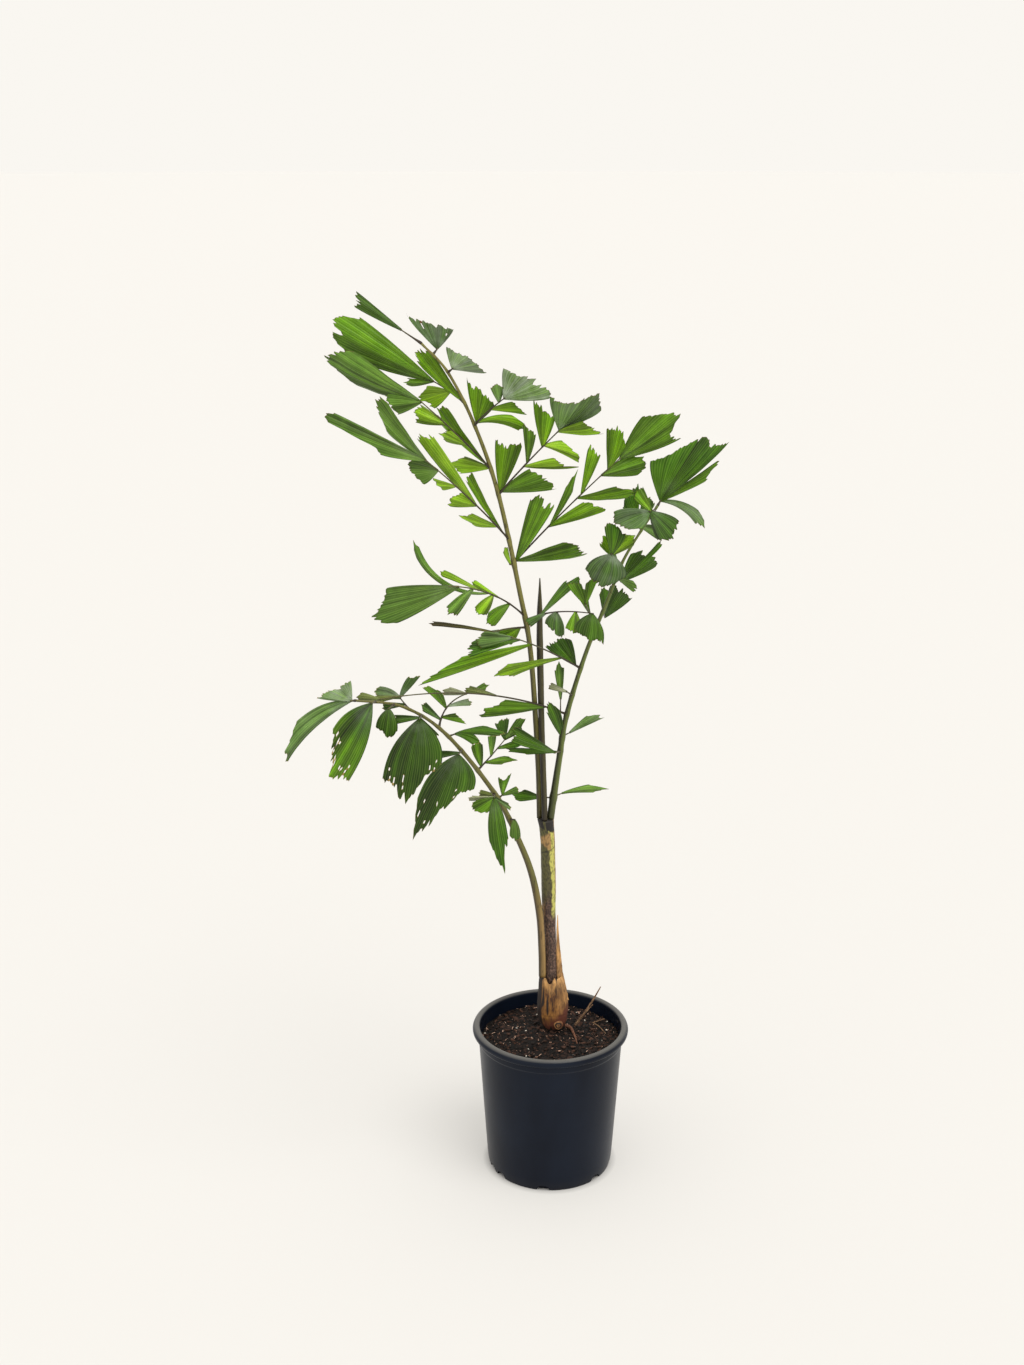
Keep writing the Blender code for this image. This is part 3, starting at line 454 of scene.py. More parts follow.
@dataclass(frozen=True)
class StalkSkin:
    """The skin of a palm's leaf stalk: smooth and waxy, with fine lengthwise fibres, painted lighter on its lit flank
    and darker on its shaded flank.
    """

    name: str
    light: str
    dark: str
    fleck: str = "#2A2012"
    foot: str = ""
    foot_height: float = 0.5
    roughness: float = 0.45

    def material(self) -> bpy.types.Material:
        """Build the material."""
        bench = Workbench(self.name)
        tree = bench.tree
        fibre = speckle(tree, bench.place, 3, 4, (1, 1, 0.08))
        # Painted light and shade: the flank attribute is high on the lit side and low on the shaded side.
        flank = figure(tree, "ADD", bench.attribute("flank"), figure(tree, "MULTIPLY", fibre, 0.35))
        share = add(tree, "ShaderNodeMapRange", {"Value": flank, "From Min": 0.45, "From Max": 0.9}).outputs[0]
        light = linear(self.light)
        if self.foot:
            height = add(tree, "ShaderNodeSeparateXYZ", {0: bench.place}).outputs["Z"]
            low = add(tree, "ShaderNodeMapRange", {"Value": height, "From Min": self.foot_height,
                                                   "From Max": self.foot_height - 0.08}).outputs[0]
            light = blend_colours(tree, low, light, linear(self.foot))
        colour = blend_colours(tree, share, linear(self.dark), light)
        spots = figure(tree, "GREATER_THAN", speckle(tree, bench.place, 4, 5, (1, 1, 0.25)), 0.63)
        colour = blend_colours(tree, figure(tree, "MULTIPLY", spots, 0.55), colour, linear(self.fleck))
        return bench.settle(colour, self.roughness, fibre, 0.3, IOR=1.45)


@dataclass(frozen=True)
class StemBark:
    """The young stem's skin: dark brown under pale scurf and olive higher up, with painted light in yellow green down
    its lit flank.
    """

    name: str = "young_palm_stem"
    brown: str = "#38241B"
    scurf: str = "#7C6050"
    olive: str = "#55522A"
    green: str = "#BEBA5E"
    cream: str = "#A07E4C"
    black: str = "#17110C"

    def over(self, bench: Workbench, colour: object, mark: str, wear: object, tone: str) -> bpy.types.NodeSocket:
        """Lay a tone over the colour where an attribute of the piece says so, its border broken up by wear."""
        edge = figure(bench.tree, "ADD", bench.attribute(mark), figure(bench.tree, "MULTIPLY", wear, 0.5))
        share = add(bench.tree, "ShaderNodeMapRange", {"Value": edge, "From Min": 0.5, "From Max": 0.85}).outputs[0]
        return blend_colours(bench.tree, share, colour, linear(tone))

    def material(self) -> bpy.types.Material:
        """Build the material."""
        bench = Workbench(self.name)
        tree = bench.tree
        fleck = speckle(tree, bench.place, 2.2, 5, (1, 1, 0.6))
        fibre = speckle(tree, bench.place, 4, 4, (1, 1, 0.06))
        colour = ramp(tree, fleck, ((0.42, linear(self.brown)), (0.70, linear(self.scurf))))
        colour = self.over(bench, colour, "olive", fleck, self.olive)
        colour = self.over(bench, colour, "green", fibre, self.green)
        colour = self.over(bench, colour, "cream", fibre, self.cream)
        colour = self.over(bench, colour, "black", fleck, self.black)
        spots = add(tree, "ShaderNodeMapRange", {"Value": speckle(tree, bench.place, 2.4, 5, (1, 1, 0.5)),
                                                 "From Min": 0.48, "From Max": 0.6, "To Max": 0.75}).outputs[0]
        colour = blend_colours(tree, spots, colour, blend_colours(tree, 0.75, colour, linear(self.black)))
        return bench.settle(colour, 0.6, figure(tree, "ADD", fibre, fleck), 0.6)


@dataclass(frozen=True)
class DryHusk:
    """Dry leaf-base husk: papery and fibrous, golden brown, redder where it meets the soil, with painted shade down one
    flank, in its folds and at its foot, and a painted highlight on its other flank.
    """

    name: str = "dry_palm_husk"
    gold: str = "#96662C"
    brown: str = "#40230F"
    dark: str = "#1E110A"
    red: str = "#5E3020"
    cream: str = "#D4A264"

    def material(self) -> bpy.types.Material:
        """Build the material."""
        bench = Workbench(self.name)
        tree = bench.tree
        fibre = figure(tree, "ADD", figure(tree, "MULTIPLY", speckle(tree, bench.place, 7, 4, (1, 1, 0.16)), 0.6),
                       figure(tree, "MULTIPLY", speckle(tree, bench.place, 2.2, 6, (1, 1, 0.3)), 0.4))
        cloud = speckle(tree, bench.place, 12, 5, (1, 1, 0.5))
        colour = ramp(tree, fibre, ((0.42, linear(self.brown)), (0.60, linear(self.gold))))
        # Cream from the pale attribute: partly the husk's own pale edge, partly a painted highlight.
        share = figure(tree, "MULTIPLY", bench.attribute("pale"), add(tree, "ShaderNodeMapRange", {
            "Value": fibre, "From Min": 0.35, "From Max": 0.6, "To Min": 0.3}).outputs[0])
        colour = blend_colours(tree, share, colour, linear(self.cream))
        share = add(tree, "ShaderNodeMapRange", {"Value": cloud, "From Min": 0.45, "From Max": 0.7}).outputs[0]
        colour = blend_colours(tree, figure(tree, "MULTIPLY", share, 0.6), colour, linear(self.brown))
        share = add(tree, "ShaderNodeMapRange", {"Value": figure(tree, "ADD", bench.attribute("red"), figure(
            tree, "MULTIPLY", cloud, 0.5)), "From Min": 0.55, "From Max": 1.1}).outputs[0]
        colour = blend_colours(tree, share, colour, linear(self.red))
        # Painted shade from the dark attribute.
        share = add(tree, "ShaderNodeMapRange", {"Value": figure(tree, "ADD", bench.attribute("dark"), figure(
            tree, "MULTIPLY", fibre, 0.4)), "From Min": 0.6, "From Max": 1.0}).outputs[0]
        colour = blend_colours(tree, share, colour, linear(self.dark))
        return bench.settle(colour, 0.72, fibre, 0.8)


@dataclass(frozen=True)
class DeadWood:
    """A dead root or stick: dull and split along its length."""

    name: str
    light: str
    dark: str

    def material(self) -> bpy.types.Material:
        """Build the material."""
        bench = Workbench(self.name)
        fibre = speckle(bench.tree, bench.place, 2.2, 4, (1, 1, 0.4))
        colour = ramp(bench.tree, fibre, ((0.38, linear(self.dark)), (0.62, linear(self.light))))
        return bench.settle(colour, 0.8, fibre, 0.5)


@dataclass(frozen=True)
class StudioPaper:
    """Pale opal studio floor, dull and even, that glows a little so that shadows stay faint, the glow fading out to a
    painted shadow under the pot.
    """

    name: str = "studio_paper"
    tone: str = "#B2B1B0"
    glow: str = "#FAF7F0"
    strength: float = 0.33
    shadow_painted_within: float = 0.095
    glow_full_beyond: float = 0.112

    def material(self) -> bpy.types.Material:
        """Build the material."""
        bench = Workbench(self.name)
        cloud = speckle(bench.tree, bench.place, 900, 2)
        colour = ramp(bench.tree, cloud, ((0.0, linear(self.tone)), (1.0, linear(self.tone))))
        # Painted shadow: the floor's glow fades to nothing under the pot.
        away = add(bench.tree, "ShaderNodeVectorMath", {0: bench.place}, operation="LENGTH").outputs["Value"]
        share = add(bench.tree, "ShaderNodeMapRange", {
            "Value": away, "From Min": self.shadow_painted_within, "From Max": self.glow_full_beyond, "To Min": 0.0,
            "To Max": self.strength}).outputs[0]
        bench.tree.links.new(share, bench.shader.inputs["Emission Strength"])
        bench.shader.inputs["Emission Color"].default_value = (*linear(self.glow), 1)
        return bench.settle(colour, 0.95, cloud, 0.01, Specular_IOR_Level=0.1)


# Meshes


@dataclass
class Fabric:
    """Points and faces gathered for one piece, with the values its material reads."""

    points: list = field(default_factory=list)
    faces: list = field(default_factory=list)
    sheet: list = field(default_factory=list)
    values: dict = field(default_factory=dict)

    def put(self, point: Point, sheet: tuple = (0.0, 0.0), **values: object) -> int:
        """Add a point.

        Args:
            point: Its place in metres.
            sheet: Its place on the piece's own UV map.
            values: Attribute names to numbers or colours.

        Returns:
            Its number.
        """
        self.points.append(tuple(point))
        self.sheet.append(sheet)
        for name, value in values.items():
            self.values.setdefault(name, []).append(value)
        return len(self.points) - 1

    def rings(self, rows: list, closed: bool = True, capped: bool = True) -> None:
        """Join rows of point numbers by faces.

        Args:
            rows: Rows with equal numbers of points.
            closed: Whether each row's last point meets its first.
            capped: Whether the first and last rows are filled.
        """
        count = len(rows[0])
        for low, high in zip(rows, rows[1:]):
            for i in range(count if closed else count - 1):
                j = (i + 1) % count
                self.faces.append((low[i], low[j], high[j], high[i]))
        if capped:
            self.faces.append(tuple(reversed(rows[0])))
            self.faces.append(tuple(rows[-1]))

    def piece(self, name: str, material: bpy.types.Material, turn_out: bool = True) -> bpy.types.Object:
        """Make the gathered mesh an object.

        Args:
            name: The piece's name.
            material: Its finish.
            turn_out: Whether faces are turned to point outwards.

        Returns:
            The object.
        """
        mesh = bpy.data.meshes.new(name)
        mesh.from_pydata(self.points, [], self.faces)
        if turn_out:
            work = bmesh.new()
            work.from_mesh(mesh)
            bmesh.ops.recalc_face_normals(work, faces=work.faces)
            work.to_mesh(mesh)
            work.free()
        layer = mesh.uv_layers.new(name="sheet")
        for loop in mesh.loops:
            layer.data[loop.index].uv = self.sheet[loop.vertex_index]
        for key, values in self.values.items():
            if isinstance(values[0], tuple):
                store = mesh.attributes.new(key, "FLOAT_COLOR", "POINT")
                for item, value in zip(store.data, values):
                    item.color = (*value, 1)
            else:
                store = mesh.attributes.new(key, "FLOAT", "POINT")
                store.data.foreach_set("value", values)
        mesh.polygons.foreach_set("use_smooth", [True] * len(mesh.polygons))
        thing = bpy.data.objects.new(name, mesh)
        bpy.context.scene.collection.objects.link(thing)
        mesh.materials.append(material)
        return thing


def ring_frame(ahead: Point, side: Point) -> tuple[Point, Point]:
    """Give two directions square to ahead, the first as near to side as it can be."""
    side = side - ahead * side.dot(ahead)
    if side.length < 1e-4:
        side = Vector((0, 1, 0)) - ahead * ahead.y
    side.normalize()
    return side, ahead.cross(side)


def draw_tube(fabric: Fabric, centres: list, radius: Callable, sides: int, **values: float) -> None:
    """Add a round closed bar along points.

    Args:
        fabric: Where it is added.
        centres: The points of its middle line.
        radius: The radius in metres at a share of its length and an angle.
        sides: Points round it.
        values: Attributes for all its points, each a number or a function of share and angle.
    """
    side = Vector((1, 0, 0))
    rows = []
    last = len(centres) - 1
    for k, centre in enumerate(centres):
        ahead = (centres[min(k + 1, last)] - centres[max(k - 1, 0)]).normalized()
        side, other = ring_frame(ahead, side)
        row = []
        for i in range(sides):
            turn = 2 * math.pi * i / sides
            out = side * math.cos(turn) + other * math.sin(turn)
            own = {key: value(k / last, turn) if callable(value) else value for key, value in values.items()}
            row.append(fabric.put(centre + out * radius(k / last, turn), (i / sides, k / last), **own))
        rows.append(row)
    fabric.rings(rows)


def plain(thing: bpy.types.Object, name: str) -> bpy.types.Object:
    """Turn an object with modifiers into a plain mesh object.

    Args:
        thing: The object, which is removed.
        name: The new object's name.

    Returns:
        The new object.
    """
    graph = bpy.context.evaluated_depsgraph_get()
    mesh = bpy.data.meshes.new_from_object(thing.evaluated_get(graph))
    data = thing.data
    bpy.data.objects.remove(thing)
    if data.users == 0:
        bpy.data.meshes.remove(data)
    made = bpy.data.objects.new(name, mesh)
    bpy.context.scene.collection.objects.link(made)
    return made


def settle(thing: bpy.types.Object, slot: str, *nodes: str) -> bpy.types.Object:
    """Let a piece ride with the plant and stand for its CAD nodes.

    Args:
        thing: The piece.
        slot: The record's material slot; not used.
        nodes: The CAD nodes that it replaces.

    Returns:
        The piece.
    """
    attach(thing, "root")
    if nodes:
        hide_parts(*nodes)
    LOG.info("%s: %d faces", thing.name, len(thing.data.polygons))
    return thing


# The palm's named sizes


FOLD = 9
FLARE = 1.4


class Stalk(NamedTuple):
    """A leaf stalk: the points it bends through and its radii spread evenly over its length, in mm."""

    knots: tuple
    radii: tuple


class Leaflet(NamedTuple):
    """A wedge-shaped blade, in mm and degrees; left and right are as seen from its foot, facing its end."""

    at: float
    heading: float
    length: float
    width: float
    reach: tuple
    lean: float = 0
    curl: float = 0
    fold: float = FOLD
    flare: float = FLARE


class Pinna(NamedTuple):
    """A side rib with its leaflets: its stalk, its share of it, its run and bow in mm, and its front."""

    name: str
    stalk: str
    at: float
    run: tuple
    bow: tuple
    face: tuple
    leaflets: tuple


STALKS = {
    "tall": Stalk(
        ((-19, 25, 599.8), (-22, 22, 698), (-34, 12, 875), (-51, 0, 976), (-83, -22, 1131),
         (-117, -42, 1236), (-154, -60, 1314), (-190, -80, 1357)),
        (4.4, 4.2, 3.7, 3.0, 1.5)),
    "right": Stalk(
        ((-2, 22, 600.4), (11, 20, 699), (22, 22, 771), (51, 27, 871), (84, 33, 955), (109, 38, 1020),
         (158, 47, 1099)),
        (6.2, 4.5, 3.4, 2.6, 1.5)),
    "low": Stalk(
        ((-13.5, 10, 329), (-14.5, 9, 377), (-18.5, 7, 440), (-31, 2, 511), (-53, -6, 576), (-89, -22, 658),
         (-162, -47, 764), (-226, -66, 815), (-295, -90, 833)),
        (5.8, 5.6, 4.0, 2.8, 1.5)),
    "spear": Stalk(
        ((-11, 14, 599.7), (-14, 14, 690), (-18, 15, 800), (-20, 17, 900), (-20.5, 18, 993)),
        (4.4, 4.5, 4.6, 4.7, 4.8, 5.0, 5.0, 4.2, 0.8)),
}

WHOLE = (0.95, 1, 0.95)
POINTED_RIGHT = (0.55, 0.85, 1)
BROAD = 2.6

PINNAE = (
    Pinna("tall_right_low", "tall", 0.534, (161, 61, 148), (-3, 9, -1), (0.25, -1, -0.25), (
        Leaflet(0.02, 68, 109, 37, (1, 1, 0.95, 1, 1)),
        Leaflet(0.36, 70, 103, 15, (0.65, 1, 0.7)),
        Leaflet(0.65, 76, 83, 21, (1, 0.95, 0.85)),
        Leaflet(0.89, 82, 75, 41, (1, 1, 1, 0.9, 0.6)),
        Leaflet(1, 36, 123, 63, (0.55, 0.75, 0.95, 0.7, 0.75)),
        Leaflet(0.02, 11, 118, 39, (0.65, 0.8, 0.85, 0.95, 1)),
        Leaflet(0.34, 21, 105, 27, (0.65, 0.75, 0.8, 0.9, 0.95)),
        Leaflet(0.61, 7, 92, 28, (0.7, 0.85, 0.95, 1, 0.85)),
        Leaflet(0.83, 13, 76, 33, (0.6, 0.95, 1, 0.95, 0.8)),
    )),
    Pinna("tall_right_mid", "tall", 0.673, (100, -28, 111), (-2, -3, 1), (0.1, -1, -0.3), (
        Leaflet(0.03, 82, 81, 40, (1, 0.95, 0.95, 1, 1)),
        Leaflet(0.44, 89, 75, 21, (1, 0.8, 0.65)),
        Leaflet(0.66, 89, 68, 34, (1, 0.95, 0.9, 0.8, 0.7)),
        Leaflet(0.89, 61, 82, 88, (0.6, 0.55, 0.75, 0.95, 0.7)),
        Leaflet(0.04, 15, 87, 41, (0.6, 0.75, 0.85, 0.95, 1)),
        Leaflet(0.39, 7, 83, 25, (0.55, 0.7, 1)),
        Leaflet(0.68, 350, 70, 23, (0.4, 0.8, 1), 0, -20),
        Leaflet(0.87, 9, 70, 31, (0.55, 0.65, 0.8, 0.9, 1)),
    )),
    Pinna("tall_right_high", "tall", 0.814, (44, -58, 48), (-3, -3, 0), (0.3, -1, -0.2), (
        Leaflet(0.10, 83, 65, 45, (1, 0.85, 0.75, 0.65, 0.5)),
        Leaflet(0.85, 102, 34, 21, (1, 0.9, 0.6)),
        Leaflet(0.11, 14, 84, 18, (0.7, 1, 0.9), 0, -50),
        Leaflet(0.60, 8, 63, 23, (0.5, 0.7, 1), 0, -20),
        Leaflet(1, 26, 68, 72, (0.35, 0.55, 0.85, 0.95, 1), -5),
    )),
    Pinna("tall_fan_side", "tall", 0.925, (8, -10, 7), (0, 0, 0), (0.5, -1, 0.6), (
        Leaflet(1, 31, 43, 69, (0.8, 0.7, 0.85, 0.95, 1)),
    )),
    Pinna("tall_fan_top", "tall", 0.969, (7, 11, 8), (0, 0, 0), (0.5, -1, 0.6), (
        Leaflet(1, 96, 62, 60, (1, 0.8, 0.65, 0.5, 0.4), 14),
    )),
    Pinna("tall_tip", "tall", 1, (-29, -5, 20), (0, 0, 0), (0, -1, 0.3), (
        Leaflet(1, 146, 92, 20, (0.9, 1, 0.97), fold=26),
    )),
    Pinna("tall_left_high", "tall", 0.860, (-47, 20, 29), (1, 0, 1), (-0.3, -1, -0.2), (
        Leaflet(0.05, 132, 98, 34, (0.9, 1, 1, 0.95, 0.9)),
        Leaflet(0.47, 196, 54, 34, (0.55, 0.8, 1, 0.6)),
        Leaflet(0.96, 187, 52, 14, (0.8, 1, 0.85)),
        Leaflet(1, 151, 172, 58, (0.7, 0.95, 0.97, 0.95, 0.8)),
    )),
    Pinna("tall_left_mid", "tall", 0.724, (-98, -70, 110), (2, -1, 1), (-0.3, -1, -0.25), (
        Leaflet(0.07, 123, 118, 32, (0.85, 0.95, 1, 1, 0.95), 14),
        Leaflet(0.02, 174, 62, 26, (0.8, 1, 0.7)),
        Leaflet(0.36, 163, 50, 26, (0.75, 1, 0.65)),
        Leaflet(0.66, 157, 53, 27, (0.8, 1, 0.9)),
        Leaflet(1, 155, 162, 57, (0.65, 0.9, 0.95, 0.85, 0.7)),
        Leaflet(1, 184, 58, 31, (0.65, 0.8, 0.9, 1, 0.95)),
    )),
    Pinna("tall_left_low", "tall", 0.582, (-117, -129, 144), (5, -5, 1), (-0.2, -1, -0.3), (
        Leaflet(0.10, 118, 108, 17, (0.9, 1, 0.95)),
        Leaflet(0.45, 121, 142, 21, (0.9, 1, 0.9), flare=2),
        Leaflet(0.17, 168, 64, 24, (0.6, 1, 0.65)),
        Leaflet(0.44, 159, 41, 25, (1, 1, 0.75)),
        Leaflet(0.68, 183, 37, 23, (0.7, 0.85, 1)),
        Leaflet(0.87, 178, 43, 41, (0.5, 0.75, 0.95, 1, 0.8)),
        Leaflet(1, 130, 115, 37, (0.55, 0.75, 0.9, 0.97, 0.9)),
        Leaflet(1, 157, 151, 31, (0.4, 0.5, 0.95, 1, 0.95)),
    )),
    Pinna("tall_foot_small", "tall", 0.531, (-7, -7, 2), (0, 0, 0), (-0.3, -1, 0.1), (
        Leaflet(1, 118, 28, 11, WHOLE),
    )),
    Pinna("tall_low_left", "tall", 0.423, (-112, -95, 72), (6, 1, 11), (-0.2, -1, 0.5), (
        Leaflet(0.54, 188, 150, 11, (0.9, 1, 0.9), 0, -80),
        Leaflet(0.66, 158, 64, 11, WHOLE),
        Leaflet(0.42, 152, 49, 10, WHOLE),
        Leaflet(0.73, 232, 53, 23, (0.95, 1, 0.9), flare=2),
        Leaflet(0.48, 234, 41, 21, (0.8, 1, 0.8), flare=2),
        Leaflet(0.25, 227, 50, 25, (0.9, 1, 0.75), flare=2),
        Leaflet(0.89, 198, 148, 54, (0.75, 1, 0.85, 0.75, 0.7)),
    )),
    Pinna("tall_low_dry", "tall", 0.400, (-53, -51, 7), (0, 0, 2), (-0.2, -1, 0.5), (
        Leaflet(0.2, 212, 39, 31, (0.7, 0.95, 1)),
        Leaflet(1, 176, 98, 8, WHOLE),
        Leaflet(0.8, 214, 44, 21, (0.75, 1, 0.6)),
    )),
    Pinna("tall_low_right", "tall", 0.415, (99, -86, 34), (-6, -1, 8), (0.2, -1, 0.5), (
        Leaflet(0.28, 42, 88, 18, (0.9, 1, 0.95)),
        Leaflet(0.35, 206, 36, 15, WHOLE),
        Leaflet(0.52, 262, 43, 34, (0.9, 1, 0.9, 0.65, 0.5), flare=BROAD),
        Leaflet(0.78, 256, 38, 25, (0.75, 1, 0.8)),
        Leaflet(1, 260, 47, 52, (1, 0.85, 0.9, 0.8, 0.65), flare=BROAD),
    )),
    Pinna("right_low_left", "right", 0.330, (-286, -82, 51), (8, -9, 24), (0, -1, 0.4), (
        Leaflet(0.13, 181, 105, 28, (1, 0.9, 0.65)),
        Leaflet(0.41, 168, 52, 12, WHOLE),
        Leaflet(0.90, 186, 44, 11, WHOLE),
        Leaflet(1, 176, 40, 16, (0.7, 1, 0.8)),
    )),
    Pinna("right_left_mid", "right", 0.475, (-107, -125, 86), (-3, 5, 4), (0, -1, 0.5), (
        Leaflet(0.07, 126, 56, 39, (1, 0.95, 0.95, 0.85, 0.65)),
        Leaflet(0.26, 196, 112, 23, (0.75, 1, 0.75), flare=0.8),
        Leaflet(0.69, 196, 176, 24, (1, 0.85, 0.6)),
        Leaflet(0.87, 192, 88, 26, (1, 0.95, 0.75)),
        Leaflet(1, 183, 57, 25, (0.95, 1, 0.8)),
    )),
    Pinna("right_small_grey", "right", 0.390, (-10, -33, 17), (0, 0, 0), (0, -1, 0.5), (
        Leaflet(0.9, 158, 31, 11, WHOLE),
    )),
    Pinna("right_spike", "right", 0.255, (-3, -11, 70), (-1, 1, 0), (0.3, -1, 0), (
        Leaflet(1, 91, 61, 15, (0.85, 1, 0.85)),
        Leaflet(0.05, 112, 68, 22, (0.85, 1, 0.75), flare=2),
    )),
    Pinna("right_low_back", "right", 0.262, (13, 29, -4), (0, 0, 0), (0, -1, 0.3), (
        Leaflet(1, 31, 66, 17, (0.6, 0.9, 1)),
    )),
    Pinna("right_low_leaf", "right", 0.215, (-9, -46, 14), (0, 0, 0), (0, -1, 0.4), (
        Leaflet(1, 155, 90, 26, (0.8, 1, 0.85)),
        Leaflet(0.5, 180, 84, 12, (0.6, 0.9, 1)),
    )),
    Pinna("right_foot_left", "right", 0.066, (-20, 30, -11), (0, 0, 0), (0, -1, 0.6), (
        Leaflet(1, 172, 48, 20, (0.8, 1, 0.6)),
    )),
    Pinna("right_foot_right", "right", 0.070, (15, 30, -6), (0, 0, 0), (0, -1, 0.6), (
        Leaflet(1, 12, 80, 15, (0.7, 1, 0.7), 0, -14),
    )),
    Pinna("right_tip", "right", 1, (5, 3, 8), (0, 0, 0), (0, -1, 0.2), (
        Leaflet(1, 59, 130, 86, (0.35, 0.55, 0.9, 0.9, 1), 11),
        Leaflet(1, 31, 107, 17, (1, 0.97, 0.75)),
        Leaflet(1, 357, 87, 18, (0.75, 1, 0.85), 0, -62),
    )),
    Pinna("right_front_high", "right", 0.985, (-16, -106, 20), (0, 0, 0), (0, -1, 0.4), (
        Leaflet(1, 312, 54, 46, (0.8, 0.95, 1, 0.95, 0.8), flare=1.8),
        Leaflet(1, 206, 58, 44, (0.6, 0.8, 0.9, 1, 0.9), flare=1.8),
        Leaflet(0.66, 124, 44, 22, (0.7, 1, 0.9)),
        Leaflet(0.4, 215, 46, 22, (0.8, 1, 0.7)),
    )),
    Pinna("right_back_high", "right", 0.914, (-1, 87, -3), (0, 0, 0), (0.3, -1, 0.2), (
        Leaflet(1, 100, 55, 33, (0.5, 0.8, 0.85, 0.95, 1)),
        Leaflet(0.6, 66, 46, 25, (0.8, 1, 0.85)),
        Leaflet(0.5, 335, 44, 20, (0.7, 1, 0.8)),
    )),
    Pinna("right_front_mid", "right", 0.796, (-20, -107, 45), (0, 0, 0), (0, -1, 0.3), (
        Leaflet(1, 247, 54, 62, (0.5, 0.85, 1, 0.85, 0.7), flare=BROAD),
        Leaflet(1, 84, 47, 33, (0.9, 1, 0.95, 0.8, 0.65)),
        Leaflet(0.91, 41, 48, 22, (0.8, 1, 0.75)),
        Leaflet(0.85, 120, 36, 18, (0.8, 1, 0.8)),
        Leaflet(0.45, 228, 46, 20, (0.75, 1, 0.8)),
        Leaflet(0.4, 125, 42, 18, WHOLE),
    )),
    Pinna("right_back_mid", "right", 0.766, (12, 84, -31), (0, 0, 0), (0.3, -1, 0.2), (
        Leaflet(1, 37, 72, 42, (0.65, 1, 0.97, 0.95, 0.9)),
        Leaflet(0.9, 40, 92, 10, WHOLE),
        Leaflet(0.55, 330, 42, 17, (0.7, 1, 0.8)),
    )),
    Pinna("right_back_low", "right", 0.656, (7, 79, -32), (0, 0, 0), (0.3, -1, 0.2), (
        Leaflet(1, 50, 58, 40, (0.85, 0.95, 1, 0.97, 0.9)),
        Leaflet(0.6, 92, 46, 20, (0.85, 1, 0.8)),
    )),
    Pinna("right_front_low", "right", 0.607, (-21, -75, 56), (0, 0, 0), (0, -1, 0.2), (
        Leaflet(1, 118, 40, 20, (1, 0.95, 0.85)),
        Leaflet(1, 77, 50, 17, (0.7, 0.9, 1)),
        Leaflet(0.6, 110, 42, 16, WHOLE),
        Leaflet(0.35, 205, 40, 16, (0.75, 1, 0.8)),
    )),
    Pinna("low_tip", "low", 1, (-8, -2, 0), (0, 0, 0), (-0.3, -1, 0.7), (
        Leaflet(1, 203, 143, 28, (1, 0.9, 0.62), 0, 40, 22, flare=BROAD),
        Leaflet(1, 158, 46, 50, (1, 0.95, 0.75, 0.6, 0.45)),
    )),
    Pinna("low_top_back", "low", 0.866, (-16, 34, 8), (0, 0, 0), (-0.2, -1, 0.5), (
        Leaflet(1, 62, 46, 17, (0.75, 0.9, 1), flare=2),
        Leaflet(0.9, 160, 44, 19, (0.9, 1, 0.8), 0, 25, flare=BROAD),
        Leaflet(0.4, 186, 40, 13, WHOLE),
    )),
    Pinna("low_hang_end", "low", 0.952, (-3, -31, 8), (0, 0, 0), (-0.3, -1, 0.2), (
        Leaflet(1, 243, 131, 60, (0.9, 1, 0.97, 0.75, 0.5), 11, flare=BROAD),
    )),
    Pinna("low_hang_small", "low", 0.905, (-7, -25, 1), (0, 0, 0), (-0.1, -1, 0.2), (
        Leaflet(1, 262, 50, 33, (0.75, 1, 0.75, 0.6), flare=BROAD),
    )),
    Pinna("low_hang_broad", "low", 0.830, (-1, -43, 9), (0, 0, 0), (-0.1, -1, 0.2), (
        Leaflet(1, 261, 140, 84, (0.45, 0.65, 1, 0.8, 0.7), flare=BROAD),
        Leaflet(0.57, 186, 46, 14, WHOLE),
        Leaflet(0.74, 309, 43, 12, WHOLE),
    )),
    Pinna("low_hang_mid", "low", 0.691, (-3, -46, 10), (0, 0, 0), (0, -1, 0.3), (
        Leaflet(1, 249, 148, 78, (0.28, 0.4, 0.75, 1, 0.55), flare=BROAD),
        Leaflet(0.58, 185, 36, 12, WHOLE),
    )),
    Pinna("low_hang_near", "low", 0.544, (0, -35, 6), (0, 0, 0), (0, -1, 0.3), (
        Leaflet(1, 214, 41, 27, (0.6, 0.8, 0.95, 1, 0.85), flare=2),
        Leaflet(1, 278, 116, 31, (0.55, 0.75, 1, 0.9, 0.6), flare=BROAD),
        Leaflet(0.9, 182, 43, 9, WHOLE),
        Leaflet(0.8, 329, 35, 9, WHOLE),
    )),
    Pinna("low_back_left", "low", 0.775, (49, 77, 32), (-10, 2, 8), (0, -1, 0.9), (
        Leaflet(0.15, 137, 45, 14, WHOLE),
        Leaflet(0.40, 130, 53, 21, (1, 0.9, 0.5)),
        Leaflet(0.45, 14, 42, 15, WHOLE),
        Leaflet(0.2, 351, 43, 15, (0.6, 0.8, 1)),
        Leaflet(0.9, 168, 44, 14, (0.8, 1, 0.7)),
        Leaflet(1, 20, 34, 12, (0.8, 1, 0.7)),
    )),
    Pinna("low_back_long", "low", 0.742, (12, 17, -1), (0, 0, 0), (0, -1, 0.9), (
        Leaflet(1, 8, 87, 20, (0.5, 1, 0.7), 0, -17),
        Leaflet(0.8, 350, 52, 15, (0.6, 1, 0.8), 0, -35),
    )),
    Pinna("low_back_mid", "low", 0.622, (43, 65, 29), (-2, 4, -5), (0, -1, 0.9), (
        Leaflet(0.15, 100, 52, 19, (0.8, 1, 0.7), flare=2),
        Leaflet(0.52, 88, 34, 14, WHOLE),
        Leaflet(0.29, 7, 57, 16, (0.6, 1, 0.5)),
        Leaflet(0.74, 11, 56, 12, (0.6, 1, 0.6)),
